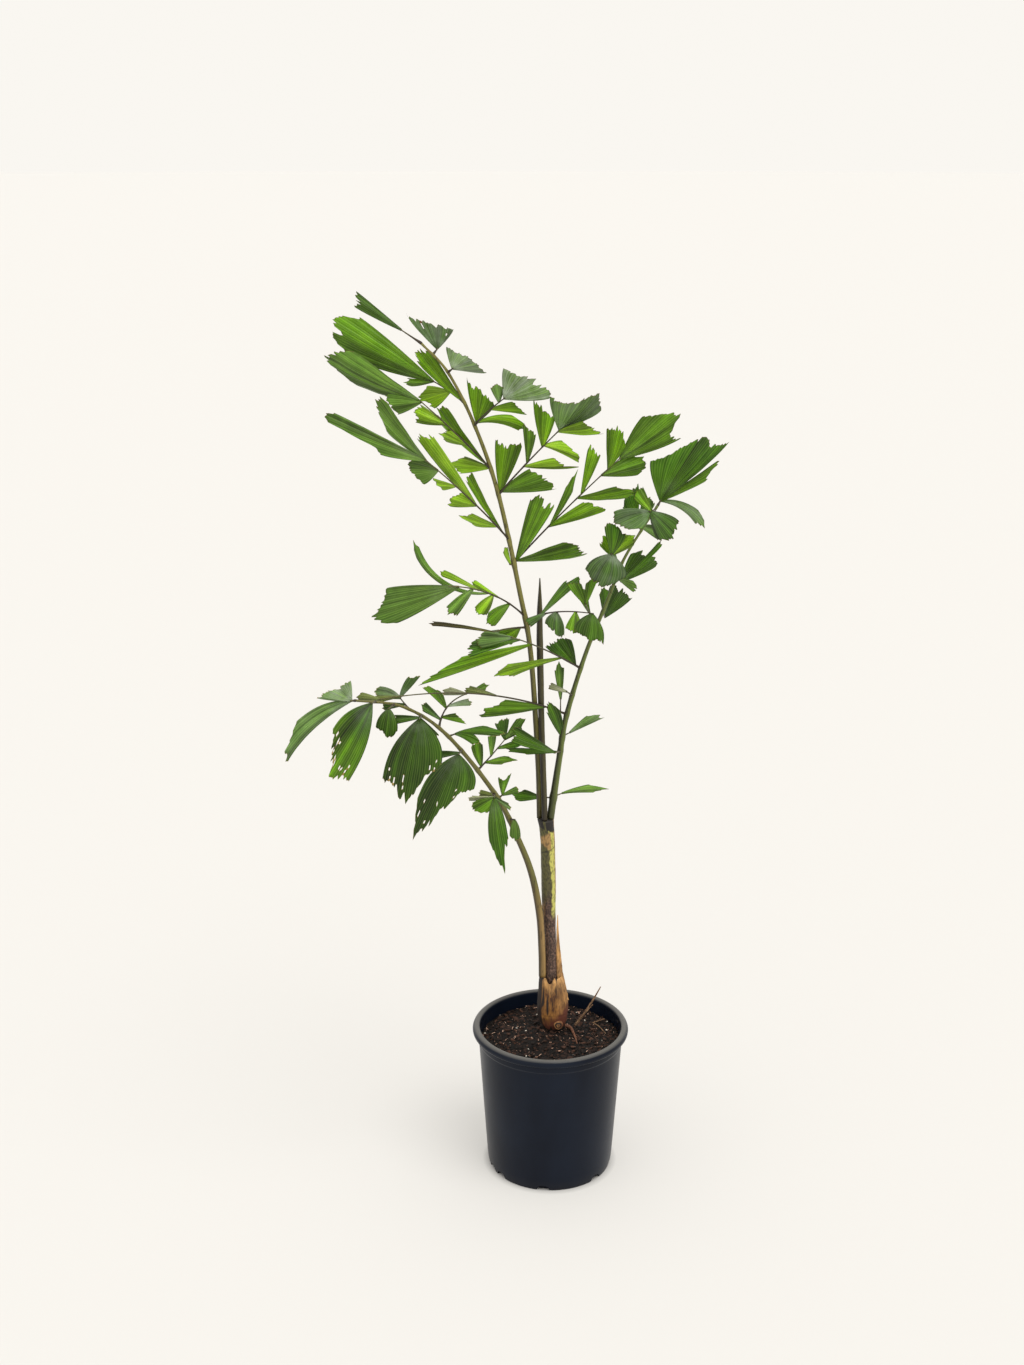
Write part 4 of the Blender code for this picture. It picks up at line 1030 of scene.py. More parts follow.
        Leaflet(1, 97, 40, 24, (0.9, 1, 0.95)),
        Leaflet(1, 45, 50, 20, (0.75, 1, 0.7)),
    )),
    Pinna("low_back_near", "low", 0.526, (8, 14, 2), (0, 0, 0), (0, -1, 0.6), (
        Leaflet(1, 83, 38, 20, (0.85, 0.65, 1)),
        Leaflet(0.8, 18, 28, 11, WHOLE),
        Leaflet(0.45, 168, 36, 11, WHOLE),
    )),
    Pinna("low_foot_small", "low", 0.46, (9, -12, 4), (0, 0, 0), (0, -1, 0.3), (
        Leaflet(1, 272, 38, 18, (0.8, 1, 0.7), flare=BROAD),
    )),
)


# Pot


def turning_tree() -> bpy.types.NodeTree:
    """Build the Geometry Nodes rule that turns a profile in the XZ plane about +Z into a closed body.

    Returns:
        The node group, with the inputs Profile, Sides and Finish.
    """
    tree = bpy.data.node_groups.new("turned_body", "GeometryNodeTree")
    tree.interface.new_socket("Body", in_out="OUTPUT", socket_type="NodeSocketGeometry")
    tree.interface.new_socket("Profile", in_out="INPUT", socket_type="NodeSocketGeometry")
    tree.interface.new_socket("Sides", in_out="INPUT", socket_type="NodeSocketInt")
    tree.interface.new_socket("Finish", in_out="INPUT", socket_type="NodeSocketMaterial")
    given = add(tree, "NodeGroupInput").outputs
    size = add(tree, "GeometryNodeAttributeDomainSize", {"Geometry": given["Profile"]}, component="MESH")
    rows = size.outputs["Point Count"]
    around = figure(tree, "ADD", given["Sides"], 1)
    grid = add(tree, "GeometryNodeMeshGrid", {"Vertices X": around, "Vertices Y": rows})
    index = add(tree, "GeometryNodeInputIndex").outputs[0]
    row = figure(tree, "MODULO", index, rows)
    column = figure(tree, "FLOOR", figure(tree, "DIVIDE", index, rows))
    place = add(tree, "GeometryNodeInputPosition").outputs[0]
    read = add(tree, "GeometryNodeSampleIndex", {"Geometry": given["Profile"], "Value": place, "Index": row},
               data_type="FLOAT_VECTOR")
    across = add(tree, "ShaderNodeSeparateXYZ", {0: read.outputs[0]}).outputs
    turn = figure(tree, "MULTIPLY", figure(tree, "DIVIDE", column, given["Sides"]), 2 * math.pi)
    x = figure(tree, "MULTIPLY", across["X"], figure(tree, "COSINE", turn))
    y = figure(tree, "MULTIPLY", across["X"], figure(tree, "SINE", turn))
    spot = add(tree, "ShaderNodeCombineXYZ", {"X": x, "Y": y, "Z": across["Z"]}).outputs[0]
    moved = add(tree, "GeometryNodeSetPosition", {"Geometry": grid.outputs["Mesh"], "Position": spot})
    closed = add(tree, "GeometryNodeMergeByDistance", {"Geometry": moved.outputs[0], "Distance": 0.00002})
    real = add(tree, "GeometryNodeRealizeInstances", {"Geometry": closed.outputs[0]})
    painted = add(tree, "GeometryNodeSetMaterial", {"Geometry": real.outputs[0], "Material": given["Finish"]})
    add(tree, "NodeGroupOutput", {"Body": painted.outputs[0]})
    return tree


def run_tree(thing: bpy.types.Object, tree: bpy.types.NodeTree, name: str, **values: object) -> bpy.types.Object:
    """Run a Geometry Nodes group on an object and keep what it makes as a plain mesh.

    Args:
        thing: The object that goes in, which is removed.
        tree: The node group.
        name: The new object's name.
        values: The group's inputs by name, with _ for a space.

    Returns:
        The new object.
    """
    step = thing.modifiers.new("rule", "NODES")
    step.node_group = tree
    for item in tree.interface.items_tree:
        if item.in_out == "INPUT" and item.name.replace(" ", "_") in values:
            step[item.identifier] = values[item.name.replace(" ", "_")]
    return plain(thing, name)


@dataclass
class NurseryPot:
    """A round injection-moulded nursery pot with a collar, a rolled rim and drain notches round its foot, in mm."""

    height: float = 249
    foot_radius: float = 100
    wall_radius: float = 116.8
    rim_radius: float = 127
    mouth_radius: float = 114.5
    wall: float = 2.4
    rim_drop: float = 12.5
    step_height: float = 222
    step_depth: float = 1.2
    floor_height: float = 11.5
    floor_thickness: float = 3
    pad_radius: float = 34
    notch_width: float = 21
    notch_height: float = 9.5
    notch_angles: tuple = (-69, -53, -7, 47, 76, 122, 171, 225)
    rounding: float = 1.2
    sides: int = 192

    def outer(self, height: float) -> float:
        """Give the outer wall's radius at a height."""
        taper = lerp(self.foot_radius + 2.2, self.wall_radius, height / self.step_height)
        return taper - 2.2 * math.exp(-height / 6)

    def profile(self) -> list:
        """Give the closed profile as radius and height, from the middle of the underside to the floor's top."""
        under_rim = self.height - self.rim_drop
        collar = self.wall_radius + self.step_depth
        foot = self.foot_radius
        deep = self.floor_height - self.floor_thickness
        corners = [
            (0, 0), (self.pad_radius, 0), (self.pad_radius + 1, deep), (foot - 7, deep), (foot - 6.6, 0.4),
            (foot - 5, 0.4), (foot - 4.6, deep), (foot - self.wall - 0.5, deep),
            (foot - self.wall, 0), (foot, 0)]
        corners += [(self.outer(h), h) for h in (1.5, 3, 6, 10, 14, 22, 34, 70, 110, 150, 190, 215)]
        corners += [
            (self.wall_radius, self.step_height), (collar, self.step_height + 2.2), (collar + 0.6, under_rim),
            (self.rim_radius - 2.5, under_rim), (self.rim_radius - 0.6, under_rim + 2), (self.rim_radius, under_rim + 6),
            (self.rim_radius - 1.8, self.height - 2.6), (self.rim_radius - 4.8, self.height - 0.4),
            (self.rim_radius - 7.5, self.height), (self.mouth_radius + 1.5, self.height - 1.2),
            (self.mouth_radius, self.height - 4.5), (self.outer(self.step_height) - self.wall, self.step_height - 1),
            (self.outer(self.floor_height) - self.wall, self.floor_height), (0, self.floor_height)]
        line = [corners[0]]
        for before, corner, after in zip(corners, corners[1:], corners[2:]):
            here = Vector(corner)
            first, second = Vector(before) - here, Vector(after) - here
            cut = min(self.rounding, first.length * 0.4, second.length * 0.4)
            start, end = here + first.normalized() * cut, here + second.normalized() * cut
            for t in (0, 0.25, 0.5, 0.75, 1):
                line.append(tuple(start * (1 - t) ** 2 + here * 2 * t * (1 - t) + end * t * t))
        return line + [corners[-1]]

    def notch(self, angle: float) -> bpy.types.Object:
        """Give the bar that cuts one drain notch.

        Args:
            angle: Where it points, in degrees from the front.

        Returns:
            The cutter.
        """
        half = self.notch_width / 2
        shape = [(-half, -10), (half, -10), (half, 0)]
        for i in range(1, 16):
            turn = math.pi * i / 16
            shape.append((half * 0.92 * math.cos(turn), self.notch_height * math.sin(turn) ** 0.7))
        shape.append((-half, 0))
        turn = math.radians(angle)
        out = Vector((math.sin(turn), -math.cos(turn), 0))
        side = Vector((math.cos(turn), math.sin(turn), 0))
        fabric = Fabric()
        rows = []
        for reach in (self.foot_radius - 3.8, self.foot_radius + 12):
            rows.append([fabric.put((out * reach + side * x + Vector((0, 0, z))) * MM) for x, z in shape])
        fabric.rings(rows)
        return fabric.piece("notch", bpy.data.materials.new("notch"))

    def build(self, material: bpy.types.Material) -> bpy.types.Object:
        """Turn the profile and cut the notches.

        Args:
            material: The pot's finish.

        Returns:
            The pot.
        """
        line = bpy.data.meshes.new("profile")
        line.from_pydata([(r * MM, 0, h * MM) for r, h in self.profile()], [], [])
        holder = bpy.data.objects.new("profile", line)
        bpy.context.scene.collection.objects.link(holder)
        pot = run_tree(holder, turning_tree(), "pot_body", Sides=self.sides, Finish=material)
        cutters = bpy.data.collections.new("cutters")
        bpy.context.scene.collection.children.link(cutters)
        for angle in self.notch_angles:
            cutter = self.notch(angle)
            bpy.context.scene.collection.objects.unlink(cutter)
            cutters.objects.link(cutter)
        step = pot.modifiers.new("cut", "BOOLEAN")
        step.operand_type = "COLLECTION"
        step.collection = cutters
        step.operation = "DIFFERENCE"
        step.solver = "EXACT"
        made = plain(pot, "nursery_pot")
        for cutter in list(cutters.objects):
            bpy.data.objects.remove(cutter)
        bpy.data.collections.remove(cutters)
        made.data.materials.clear()
        made.data.materials.append(material)
        work = bmesh.new()
        work.from_mesh(made.data)
        bmesh.ops.recalc_face_normals(work, faces=work.faces)
        work.to_mesh(made.data)
        work.free()
        made.data.polygons.foreach_set("use_smooth", [True] * len(made.data.polygons))
        made.data.set_sharp_from_angle(angle=math.radians(35))
        return made

    def dress(self) -> None:
        """Build the pot in its finish and let it stand for its CAD node."""
        settle(self.build(MouldedPolypropylene().material()), "pot_plastic", "pot")


# Potting bark


def scatter_tree() -> bpy.types.NodeTree:
    """Build the Geometry Nodes rule that strews small pieces over a surface.

    Returns:
        The node group.
    """
    tree = bpy.data.node_groups.new("strewn", "GeometryNodeTree")
    tree.interface.new_socket("Strewn", in_out="OUTPUT", socket_type="NodeSocketGeometry")
    for name, kind in (("Surface", "Geometry"), ("Chip", "Object"), ("Density", "Float"), ("Least", "Float"),
                       ("Most", "Float"), ("Seed", "Int"), ("Finish", "Material")):
        tree.interface.new_socket(name, in_out="INPUT", socket_type="NodeSocket" + kind)
    given = add(tree, "NodeGroupInput").outputs
    spots = add(tree, "GeometryNodeDistributePointsOnFaces",
                {"Mesh": given["Surface"], "Density": given["Density"], "Seed": given["Seed"]})
    chip = add(tree, "GeometryNodeObjectInfo", {"Object": given["Chip"]})
    roll = add(tree, "FunctionNodeRandomValue", {0: (-0.5, -0.5, 0), 1: (0.5, 0.5, 6.28), "Seed": given["Seed"]},
               data_type="FLOAT_VECTOR")
    size = add(tree, "FunctionNodeRandomValue", {2: given["Least"], 3: given["Most"], "Seed": given["Seed"]})
    laid = add(tree, "GeometryNodeInstanceOnPoints", {
        "Points": spots.outputs["Points"], "Instance": chip.outputs["Geometry"], "Scale": size.outputs[1]})
    turned = add(tree, "GeometryNodeRotateInstances", {"Instances": laid.outputs[0], "Rotation": roll.outputs[0]})
    tint = add(tree, "FunctionNodeRandomValue", {2: 0.0, 3: 1.0, "Seed": given["Seed"]})
    named = add(tree, "GeometryNodeStoreNamedAttribute", {
        "Geometry": turned.outputs[0], "Name": "tint", "Value": tint.outputs[1]}, domain="INSTANCE")
    real = add(tree, "GeometryNodeRealizeInstances", {"Geometry": named.outputs[0]})
    painted = add(tree, "GeometryNodeSetMaterial", {"Geometry": real.outputs[0], "Material": given["Finish"]})
    add(tree, "NodeGroupOutput", {"Strewn": painted.outputs[0]})
    return tree


def crumb(name: str, sizes: tuple, roughness: float, seed: int) -> bpy.types.Object:
    """Make one uneven closed crumb of 20 faces.

    Args:
        name: Its name.
        sizes: Length, breadth and depth in mm.
        roughness: How far its points stray, as a share.
        seed: The seed of its shape.

    Returns:
        The object.
    """
    chance = random.Random(seed)
    work = bmesh.new()
    bmesh.ops.create_icosphere(work, subdivisions=1, radius=0.5)
    for vert in work.verts:
        stray = 1 + chance.uniform(-roughness, roughness)
        vert.co = Vector([c * s * MM * stray for c, s in zip(vert.co, sizes)])
    mesh = bpy.data.meshes.new(name)
    work.to_mesh(mesh)
    work.free()
    thing = bpy.data.objects.new(name, mesh)
    bpy.context.scene.collection.objects.link(thing)
    return thing


@dataclass
class PottingBark:
    """A low mound of composted bark with loose bark chips, fine fibres and a few specks of perlite on it, in mm."""

    at_wall: float = 222.5
    at_stem: float = 232
    foot: float = 30
    bump: float = 0.9
    floor: float = 11.8
    floor_radius: float = 100.2
    wall_radius: float = 113.5
    stem_back: float = 20
    rings: int = 56
    sides: int = 168

    def height(self, x: float, y: float) -> float:
        """Give the surface's height at a place, all in mm."""
        slope = min(max((math.hypot(x - 4, y - self.stem_back) - self.foot) / 80, 0), 1)
        level = lerp(self.at_stem, self.at_wall, slope * slope * (3 - 2 * slope))
        bumps = math.sin(x * 0.131 + 1.1) * math.cos(y * 0.149 + 0.4) + 0.6 * math.sin(x * 0.061 - y * 0.083)
        return level + self.bump * bumps * min(slope * 6, 1)

    def build(self, material: bpy.types.Material) -> bpy.types.Object:
        """Build the mound.

        Args:
            material: Its finish.

        Returns:
            The mound, closed underneath.
        """
        fabric = Fabric()
        rows = [[], []]
        for row, radius, level in ((rows[0], self.floor_radius, self.floor), (rows[1], self.wall_radius, None)):
            for i in range(self.sides):
                turn = 2 * math.pi * i / self.sides
                x, y = radius * math.cos(turn), radius * math.sin(turn)
                z = level or self.height(x, y) - 1
                row.append(fabric.put(Vector((x, y, z)) * MM, tint=0.0))
        for ring in range(1, self.rings):
            radius = self.wall_radius * (1 - ring / self.rings)
            row = []
            for i in range(self.sides):
                turn = 2 * math.pi * i / self.sides
                x, y = radius * math.cos(turn), radius * math.sin(turn)
                spot = Vector((x, y, 0))
                rough = 1.7 * grain(spot, 9) + 1.1 * grain(spot, 4) + 0.6 * grain(spot, 2) - 0.6
                row.append(fabric.put(Vector((x, y, self.height(x, y) + rough)) * MM, tint=0.0))
            rows.append(row)
        fabric.rings(rows)
        return fabric.piece("bark_mound", material)

    def strew(self, mound: bpy.types.Object, name: str, material: bpy.types.Material, sizes: tuple, density: float,
              least: float, most: float, seed: int) -> bpy.types.Object:
        """Strew one kind of crumb over the mound.

        Args:
            mound: The surface.
            name: The new piece's name.
            material: The crumbs' finish.
            sizes: A crumb's length, breadth and depth in mm.
            density: Crumbs on a square metre.
            least: The least scale.
            most: The most scale.
            seed: The seed of the places.

        Returns:
            The crumbs as one piece.
        """
        top = bmesh.new()
        top.from_mesh(mound.data)
        top.normal_update()
        low = [f for f in top.faces if f.normal.z < 0.4 or f.calc_center_median().z < 0.2]
        bmesh.ops.delete(top, geom=low, context="FACES")
        mesh = bpy.data.meshes.new(name)
        top.to_mesh(mesh)
        top.free()
        surface = bpy.data.objects.new(name, mesh)
        bpy.context.scene.collection.objects.link(surface)
        chip = crumb("crumb", sizes, 0.32, seed)
        made = run_tree(surface, scatter_tree(), name, Chip=chip, Density=density, Least=least, Most=most, Seed=seed,
                        Finish=material)
        bpy.data.objects.remove(chip)
        return made

    def dress(self) -> None:
        """Build the mound with everything on it and let it stand for its CAD node."""
        bark = BarkCompost().material()
        mound = self.build(bark)
        chips = self.strew(mound, "bark_chips", bark, (9, 5, 3.4), 26000, 0.45, 1.3, 4)
        crumbs = self.strew(mound, "bark_crumbs", bark, (3.2, 2.6, 2), 60000, 0.5, 1.3, 5)
        fibres = self.strew(mound, "bark_fibres", bark, (15, 1.1, 0.8), 9000, 0.4, 1.3, 7)
        specks = self.strew(mound, "perlite", ExpandedPerlite().material(), (4.2, 2.2, 1.8), 1000, 0.25, 1.2, 11)
        pale = DeadWood("dry_fibre", "#DDB7A0", "#8C5F4A").material()
        straw = self.strew(mound, "pale_fibres", pale, (8, 1.7, 1.2), 6500, 0.3, 1.2, 13)
        for thing in (mound, chips, crumbs, fibres, specks, straw):
            settle(thing, "bark_compost", "potting_bark")


# Stem


@dataclass
class Stem:
    """The young stem: a bulb wrapped in dry husk, a slim shaft above it and a torn strip of sheath, in mm."""

    back: float = 20
    shaft: tuple = (
        (262, 3, 12), (300, 2, 11), (329, 0.5, 10.4), (374, -0.5, 9.6), (410, -1.5, 9.6), (442, -3.5, 10.9),
        (482, -3.8, 11.6), (560, -5.8, 11.5), (585, -7.6, 11.8), (599, -9.5, 13.0))
    bulb: tuple = ((232.2, 5, 17), (245, 4.5, 23), (262, 4, 26), (280, 4, 25.5), (300, 3, 23), (320, 1.5, 20.5),
                   (329, 1, 17.5))
    husk_wall: float = 2.2
    knob: tuple = (13, -3.5, 247)
    knob_radius: float = 7

    def ring(self, table: tuple, height: float) -> tuple:
        """Read the middle and the radius of a table at a height."""
        for low, high in zip(table, table[1:]):
            if height <= high[0]:
                break
        share = min(max((height - low[0]) / (high[0] - low[0]), 0), 1)
        return lerp(low[1], high[1], share), lerp(low[2], high[2], share)

    def build_shaft(self, material: bpy.types.Material) -> bpy.types.Object:
        """Build the shaft, from inside the bulb to the mouth that the leaf stalks leave."""
        fabric = Fabric()
        rows = []
        for k in range(181):
            z = lerp(self.shaft[0][0], self.shaft[-1][0], k / 180)
            middle, radius = self.ring(self.shaft, z)
            row = []
            for i in range(64):
                turn = 2 * math.pi * i / 64
                out = Vector((math.cos(turn), math.sin(turn), 0))
                spot = out * radius
                rough = 0.22 * grain(Vector((spot.x, spot.y, z * 0.08)), 2.2) + 0.3 * grain(spot + Vector((0, 0, z)), 9)
                crossed = smooth(548, 556, z) * (1 - smooth(574, 580, z))
                rough += 0.35 * crossed * math.sin(6 * turn + z * 0.9) * math.sin(6 * turn - z * 0.9)
                place = Vector((middle, self.back, z)) + out * (radius + rough)
                # Painted light: yellow green laid down the stem's lit right flank, higher up.
                lit = smooth(0.15, 0.6, out.x + 0.25 * grain(Vector((spot.x, 7, z)), 9) + 0.25 * smooth(470, 560, z))
                patch = smooth(546, 558, z + 9 * out.x) * (1 - smooth(572, 586, z - 8 * out.x))
                patch *= 1 - smooth(0.35, 0.6, out.x)
                torn = smooth(-0.7, -0.2, grain(Vector((spot.x, spot.y, z * 0.15)), 5))
                lower = smooth(420, 440, z) * (1 - smooth(452, 470, z)) * smooth(0.3, 0.8, -out.x)
                lower += 1.6 * smooth(0.75, 1, out.x) * smooth(430, 500, z)
                row.append(fabric.put(
                    place * MM, (i / 64, k / 180), olive=0.55 * smooth(430, 490, z) + 0.2 * smooth(0, 1, -out.x),
                    green=0.75 * lit * smooth(405, 462, z), cream=0.75 * patch + 0.5 * lower,
                    black=0.95 * torn * smooth(578, 590, z + 5 * out.x)
                    + 0.5 * math.exp(-(((z - 549 - 5 * out.x) / 2) ** 2))))
            rows.append(row)
        fabric.rings(rows)
        return fabric.piece("stem_shaft", material)

    def husk_top(self, turn: float) -> float:
        """Give the husk's upper edge at an angle: a V at the front between two horns, torn elsewhere."""
        front = math.degrees(math.atan2(math.sin(turn + math.pi / 2), math.cos(turn + math.pi / 2)))
        notch = 7.5 * (1 - smooth(0, 26, abs(front + 8)))
        horn = 2.0 * math.exp(-(((front + 34) / 9) ** 2)) + 1.5 * math.exp(-(((front - 18) / 9) ** 2))
        torn = 1.1 * grain(Vector((math.cos(turn), math.sin(turn), 0)), 0.18)
        return 326.5 - notch + horn + torn

    def build_husk(self, material: bpy.types.Material) -> bpy.types.Object:
        """Build the husk as a closed shell round the bulb."""
        fabric = Fabric()
        outer, inner = [], []
        low = self.bulb[0][0]
        for k in range(73):
            row, back = [], []
            for i in range(120):
                turn = 2 * math.pi * i / 120
                z = lerp(low, self.husk_top(turn), k / 72)
                middle, radius = self.ring(self.bulb, z)
                out = Vector((math.cos(turn), math.sin(turn), 0))
                spot = out * radius
                rough = 0.5 * grain(Vector((spot.x, spot.y, z * 0.1)), 2.4) + 0.7 * grain(spot + Vector((0, 0, z)), 12)
                rough -= 0.7 * math.exp(-(((z - 262) / 1.6) ** 2)) + 0.4
                centre = Vector((middle, self.back, z))
                lean = z - 20 * out.x + 9 * grain(Vector((spot.x, spot.y, z)), 9)
                fold = smooth(0.1, 0.6, grain(Vector((spot.x, spot.y, z * 0.2)), 6))
                # red is the husk's own redder foot; dark is painted shade down the left flank, in the folds and at the
                # foot, and darker along the torn top; pale is the cream top with a painted highlight on the right
                # flank.
                worth = {"red": 0.95 * (1 - smooth(240, 285, lean)), "dark": 1.0 * smooth(0.5, 0.95, -out.x) + 0.8 * fold
                         + 0.4 * smooth(3, 0, self.husk_top(turn) - z) + 0.9 * (1 - smooth(232, 244, z)),
                         "pale": 0.8 * smooth(26, 4, self.husk_top(turn) - z) + 0.35 * smooth(0.1, 0.6, out.x)}
                row.append(fabric.put((centre + out * (radius + rough)) * MM, (i / 120, k / 72), **worth))
                thin = self.husk_wall if k < 60 else lerp(self.husk_wall, 0.6, (k - 60) / 12)
                back.append(fabric.put((centre + out * (radius + rough - thin)) * MM, (i / 120, k / 72), **worth))
            outer.append(row)
            inner.append(back)
        fabric.rings(outer, capped=False)
        fabric.rings(inner[::-1], capped=False)
        fabric.rings([outer[-1], inner[-1]], capped=False)
        fabric.rings([inner[0], outer[0]], capped=False)
        return fabric.piece("bulb_husk", material)

    def build_knob(self, material: bpy.types.Material) -> bpy.types.Object:
        """Build the scar at the bulb's foot: a short ringed stub that faces the front."""
        fabric = Fabric()
        middle = Vector(self.knob)
        steps = ((8, 0.95), (3, 1.0), (0, 1.06), (-1.2, 1.0), (-1.5, 0.82), (-1.1, 0.74), (-1.3, 0.58), (-2.2, 0.5),
                 (-2.5, 0.34), (-2.1, 0.2))
        rows = []
        for ahead, wide in steps:
            row = []
            for i in range(40):
                turn = 2 * math.pi * i / 40
                radius = self.knob_radius * wide * (1 + 0.05 * math.sin(3 * turn))
                spot = middle + Vector((math.cos(turn) * radius, ahead, math.sin(turn) * radius))
                # Painted shade in the grooves between the stub's rings.
                row.append(fabric.put(spot * MM, red=0.6, dark=0.9 if 0.4 < wide < 0.78 else 0.1, pale=0.5))
            rows.append(row)
        fabric.rings(rows)
        return fabric.piece("scar_knob", material)

    def build_strip(self, material: bpy.types.Material) -> bpy.types.Object:
        """Build the torn strip of sheath that stands on the bulb's right shoulder and hugs the shaft."""
        fabric = Fabric()
        rows = []
        for k in range(91):
            share = k / 90
            z = lerp(282, 433, share)
            left = spread((14, 11.4, 10.2, 9.3, 9.0, 9.2, 10.4), share)
            right = spread((30, 25.5, 20, 17.4, 14.6, 12.6, 11.6), share) + 0.8 * grain(Vector((0, 0, z)), 5) * (1 - share)
            near = lerp(14, 18.5, share)
            row = []
            for v in (0, 0.2, 0.4, 0.6, 0.8, 1):
                bow = 2.2 * math.sin(math.pi * v) * (1 - 0.6 * share)
                fray = 0.35 * grain(Vector((v * 9, 3, z * 0.12)), 1.3)
                # Painted shade along the edge that hugs the shaft.
                row.append(fabric.put(Vector((lerp(left, right, v), near - bow + 3 * v + fray, z)) * MM,
                                      (v, share), red=0.0, dark=0.45 * smooth(0.3, 0, v), pale=1.0))
            for v in (1, 0.8, 0.6, 0.4, 0.2, 0):
                bow = 2.2 * math.sin(math.pi * v) * (1 - 0.6 * share)
                row.append(fabric.put(Vector((lerp(left, right, v), near - bow + 3 * v + 0.9, z)) * MM,
                                      (v, share), red=0.1, dark=0.4, pale=0.5))
            rows.append(row)
        fabric.rings(rows)
        return fabric.piece("torn_sheath", material)

    def dress(self) -> None:
        """Build the stem's pieces in their finishes and let them stand for the CAD nodes."""
        husk = DryHusk().material()
        settle(self.build_shaft(StemBark().material()), "stem_husk", "stem")
        settle(self.build_husk(husk), "stem_husk", "stem")
        settle(self.build_knob(husk), "stem_husk", "stem")
        settle(self.build_strip(husk), "dry_sheath", "dry_sheath")


# What lies on the potting bark


@dataclass
class Litter:
    """A surface root, a dead stick and a forked twig on the potting bark, in mm."""

    bark: PottingBark
    root: tuple = ((24, 14, 2.6), (31, 12, 1.6), (35, 6, 0.6), (38, -6, 0.2), (41, -18, 0.1), (43, -30, -0.4))
    root_radii: tuple = (3.0, 2.5, 2.2, 1.8, 1.2, 0.7)
    stick: tuple = ((41, 22, 2.0), (83, 33, 66.5))
    stick_radii: tuple = (2.2, 2.0, 1.7, 1.3, 0.8)
    twigs: tuple = (((71, 40, 0.3), (82, 47, 2.0), (91, 50, 5.0)), ((72, 40, 0.3), (82, 24, 1.5), (91, 8, 1.0)))

    def lying(self, points: tuple, radii: tuple) -> list:
        """Raise points to lie on the bark.

        Args:
            points: Places with their height above it.
            radii: The radius spread over the length.

        Returns:
            The points in metres.
        """
        last = len(points) - 1
        return [Vector((x, y, self.bark.height(x, y) + spread(radii, k / last) + up)) for k, (x, y, up) in
                enumerate(points)]

    def branch(self, name: str, material: bpy.types.Material, lines: tuple) -> bpy.types.Object:
        """Build a branched dead piece.

        Args:
            name: Its name.
            material: Its finish.
            lines: Knots in mm and radii, the main line first.

        Returns:
            The piece.
        """
        fabric = Fabric()
        for knots, radii in lines:
            path = Path(tuple(tuple(k) for k in knots), 44)

            def radius(share: float, turn: float) -> float:
                lump = grain(Vector((math.cos(turn), math.sin(turn), share * 9)), 0.7)
                return spread(radii, share) * MM * (1 + 0.16 * lump)

            draw_tube(fabric, path.points, radius, 14)
        return fabric.piece(name, material)

    def dress(self) -> None:
        """Build what lies on the bark and let it stand for its CAD nodes."""
        wood = DeadWood("dead_root", "#7A5038", "#4A2A1C").material()
        dry = DeadWood("dry_stick", "#8A6A4C", "#4E3826").material()
        settle(self.branch("root_on_bark", wood, ((self.lying(self.root, self.root_radii), self.root_radii),)),
               "litter", "surface_root")
        foot, tip = Vector(self.stick[0]), Vector((self.stick[1][0], self.stick[1][1], 298))
        foot.z = self.bark.height(foot.x, foot.y) + 1.3
        knots = [foot.lerp(tip, s) + Vector((0, 0, -4 * math.sin(math.pi * s))) for s in (0, 0.2, 0.45, 0.75, 1)]
        short = [foot.lerp(tip, 0.08), foot.lerp(Vector((70, 24, 272)), 0.6), Vector((70, 24, 270))]
        settle(self.branch("stick_on_bark", dry, ((knots, self.stick_radii), (short, (1.5, 1.3, 0.7)))),
               "litter", "dead_stick")
        lines = tuple((self.lying(twig, (1.0, 0.9, 0.7)), (1.0, 0.9, 0.7)) for twig in self.twigs)
        settle(self.branch("twig_on_bark", dry, lines), "litter", "small_twig")


# Leaves


class Look(Enum):
    """How a leaflet is painted: its green at the foot and at the end, lighter or darker for the painted light and shade
    on it, and how much silvery veil and painted sheen it has.
    """

    SUNLIT = ("#7BA507", "#669202", 0.15)
    BRIGHT = ("#99BE2F", "#86B01A", 0.15)
    GOLDEN = ("#AECB3E", "#B8D341", 0.15)
    LEAFY = ("#6E9138", "#5A7F2A", 0.3)
    FRESH = ("#668E19", "#58810C", 0.2)
    SHADED = ("#507805", "#3D6800", 0.25)
    DEEP = ("#44680F", "#3F6408", 0.3)
    HANGING = ("#42690B", "#577F0D", 0.3)
    HAZED = ("#3D6019", "#36570F", 0.5)
    OLIVE = ("#767F46", "#646F36", 0.4)
    GREYED = ("#688A42", "#5E7E3A", 0.7)
    MUTED = ("#4A6C2A", "#40601E", 0.7)
    SILVERED = ("#708C4C", "#62803F", 0.95)
    PALE = ("#B2B596", "#8F9472", 0.6)
    DUSKY = ("#38590B", "#345306", 0.25)
    DRIED = ("#645D2D", "#453620", 0.0)


TORN = {"low_hang_end": 1.0, "low_hang_broad": 0.7, "low_hang_mid": 0.5, "tall_fan_top": 0.2}
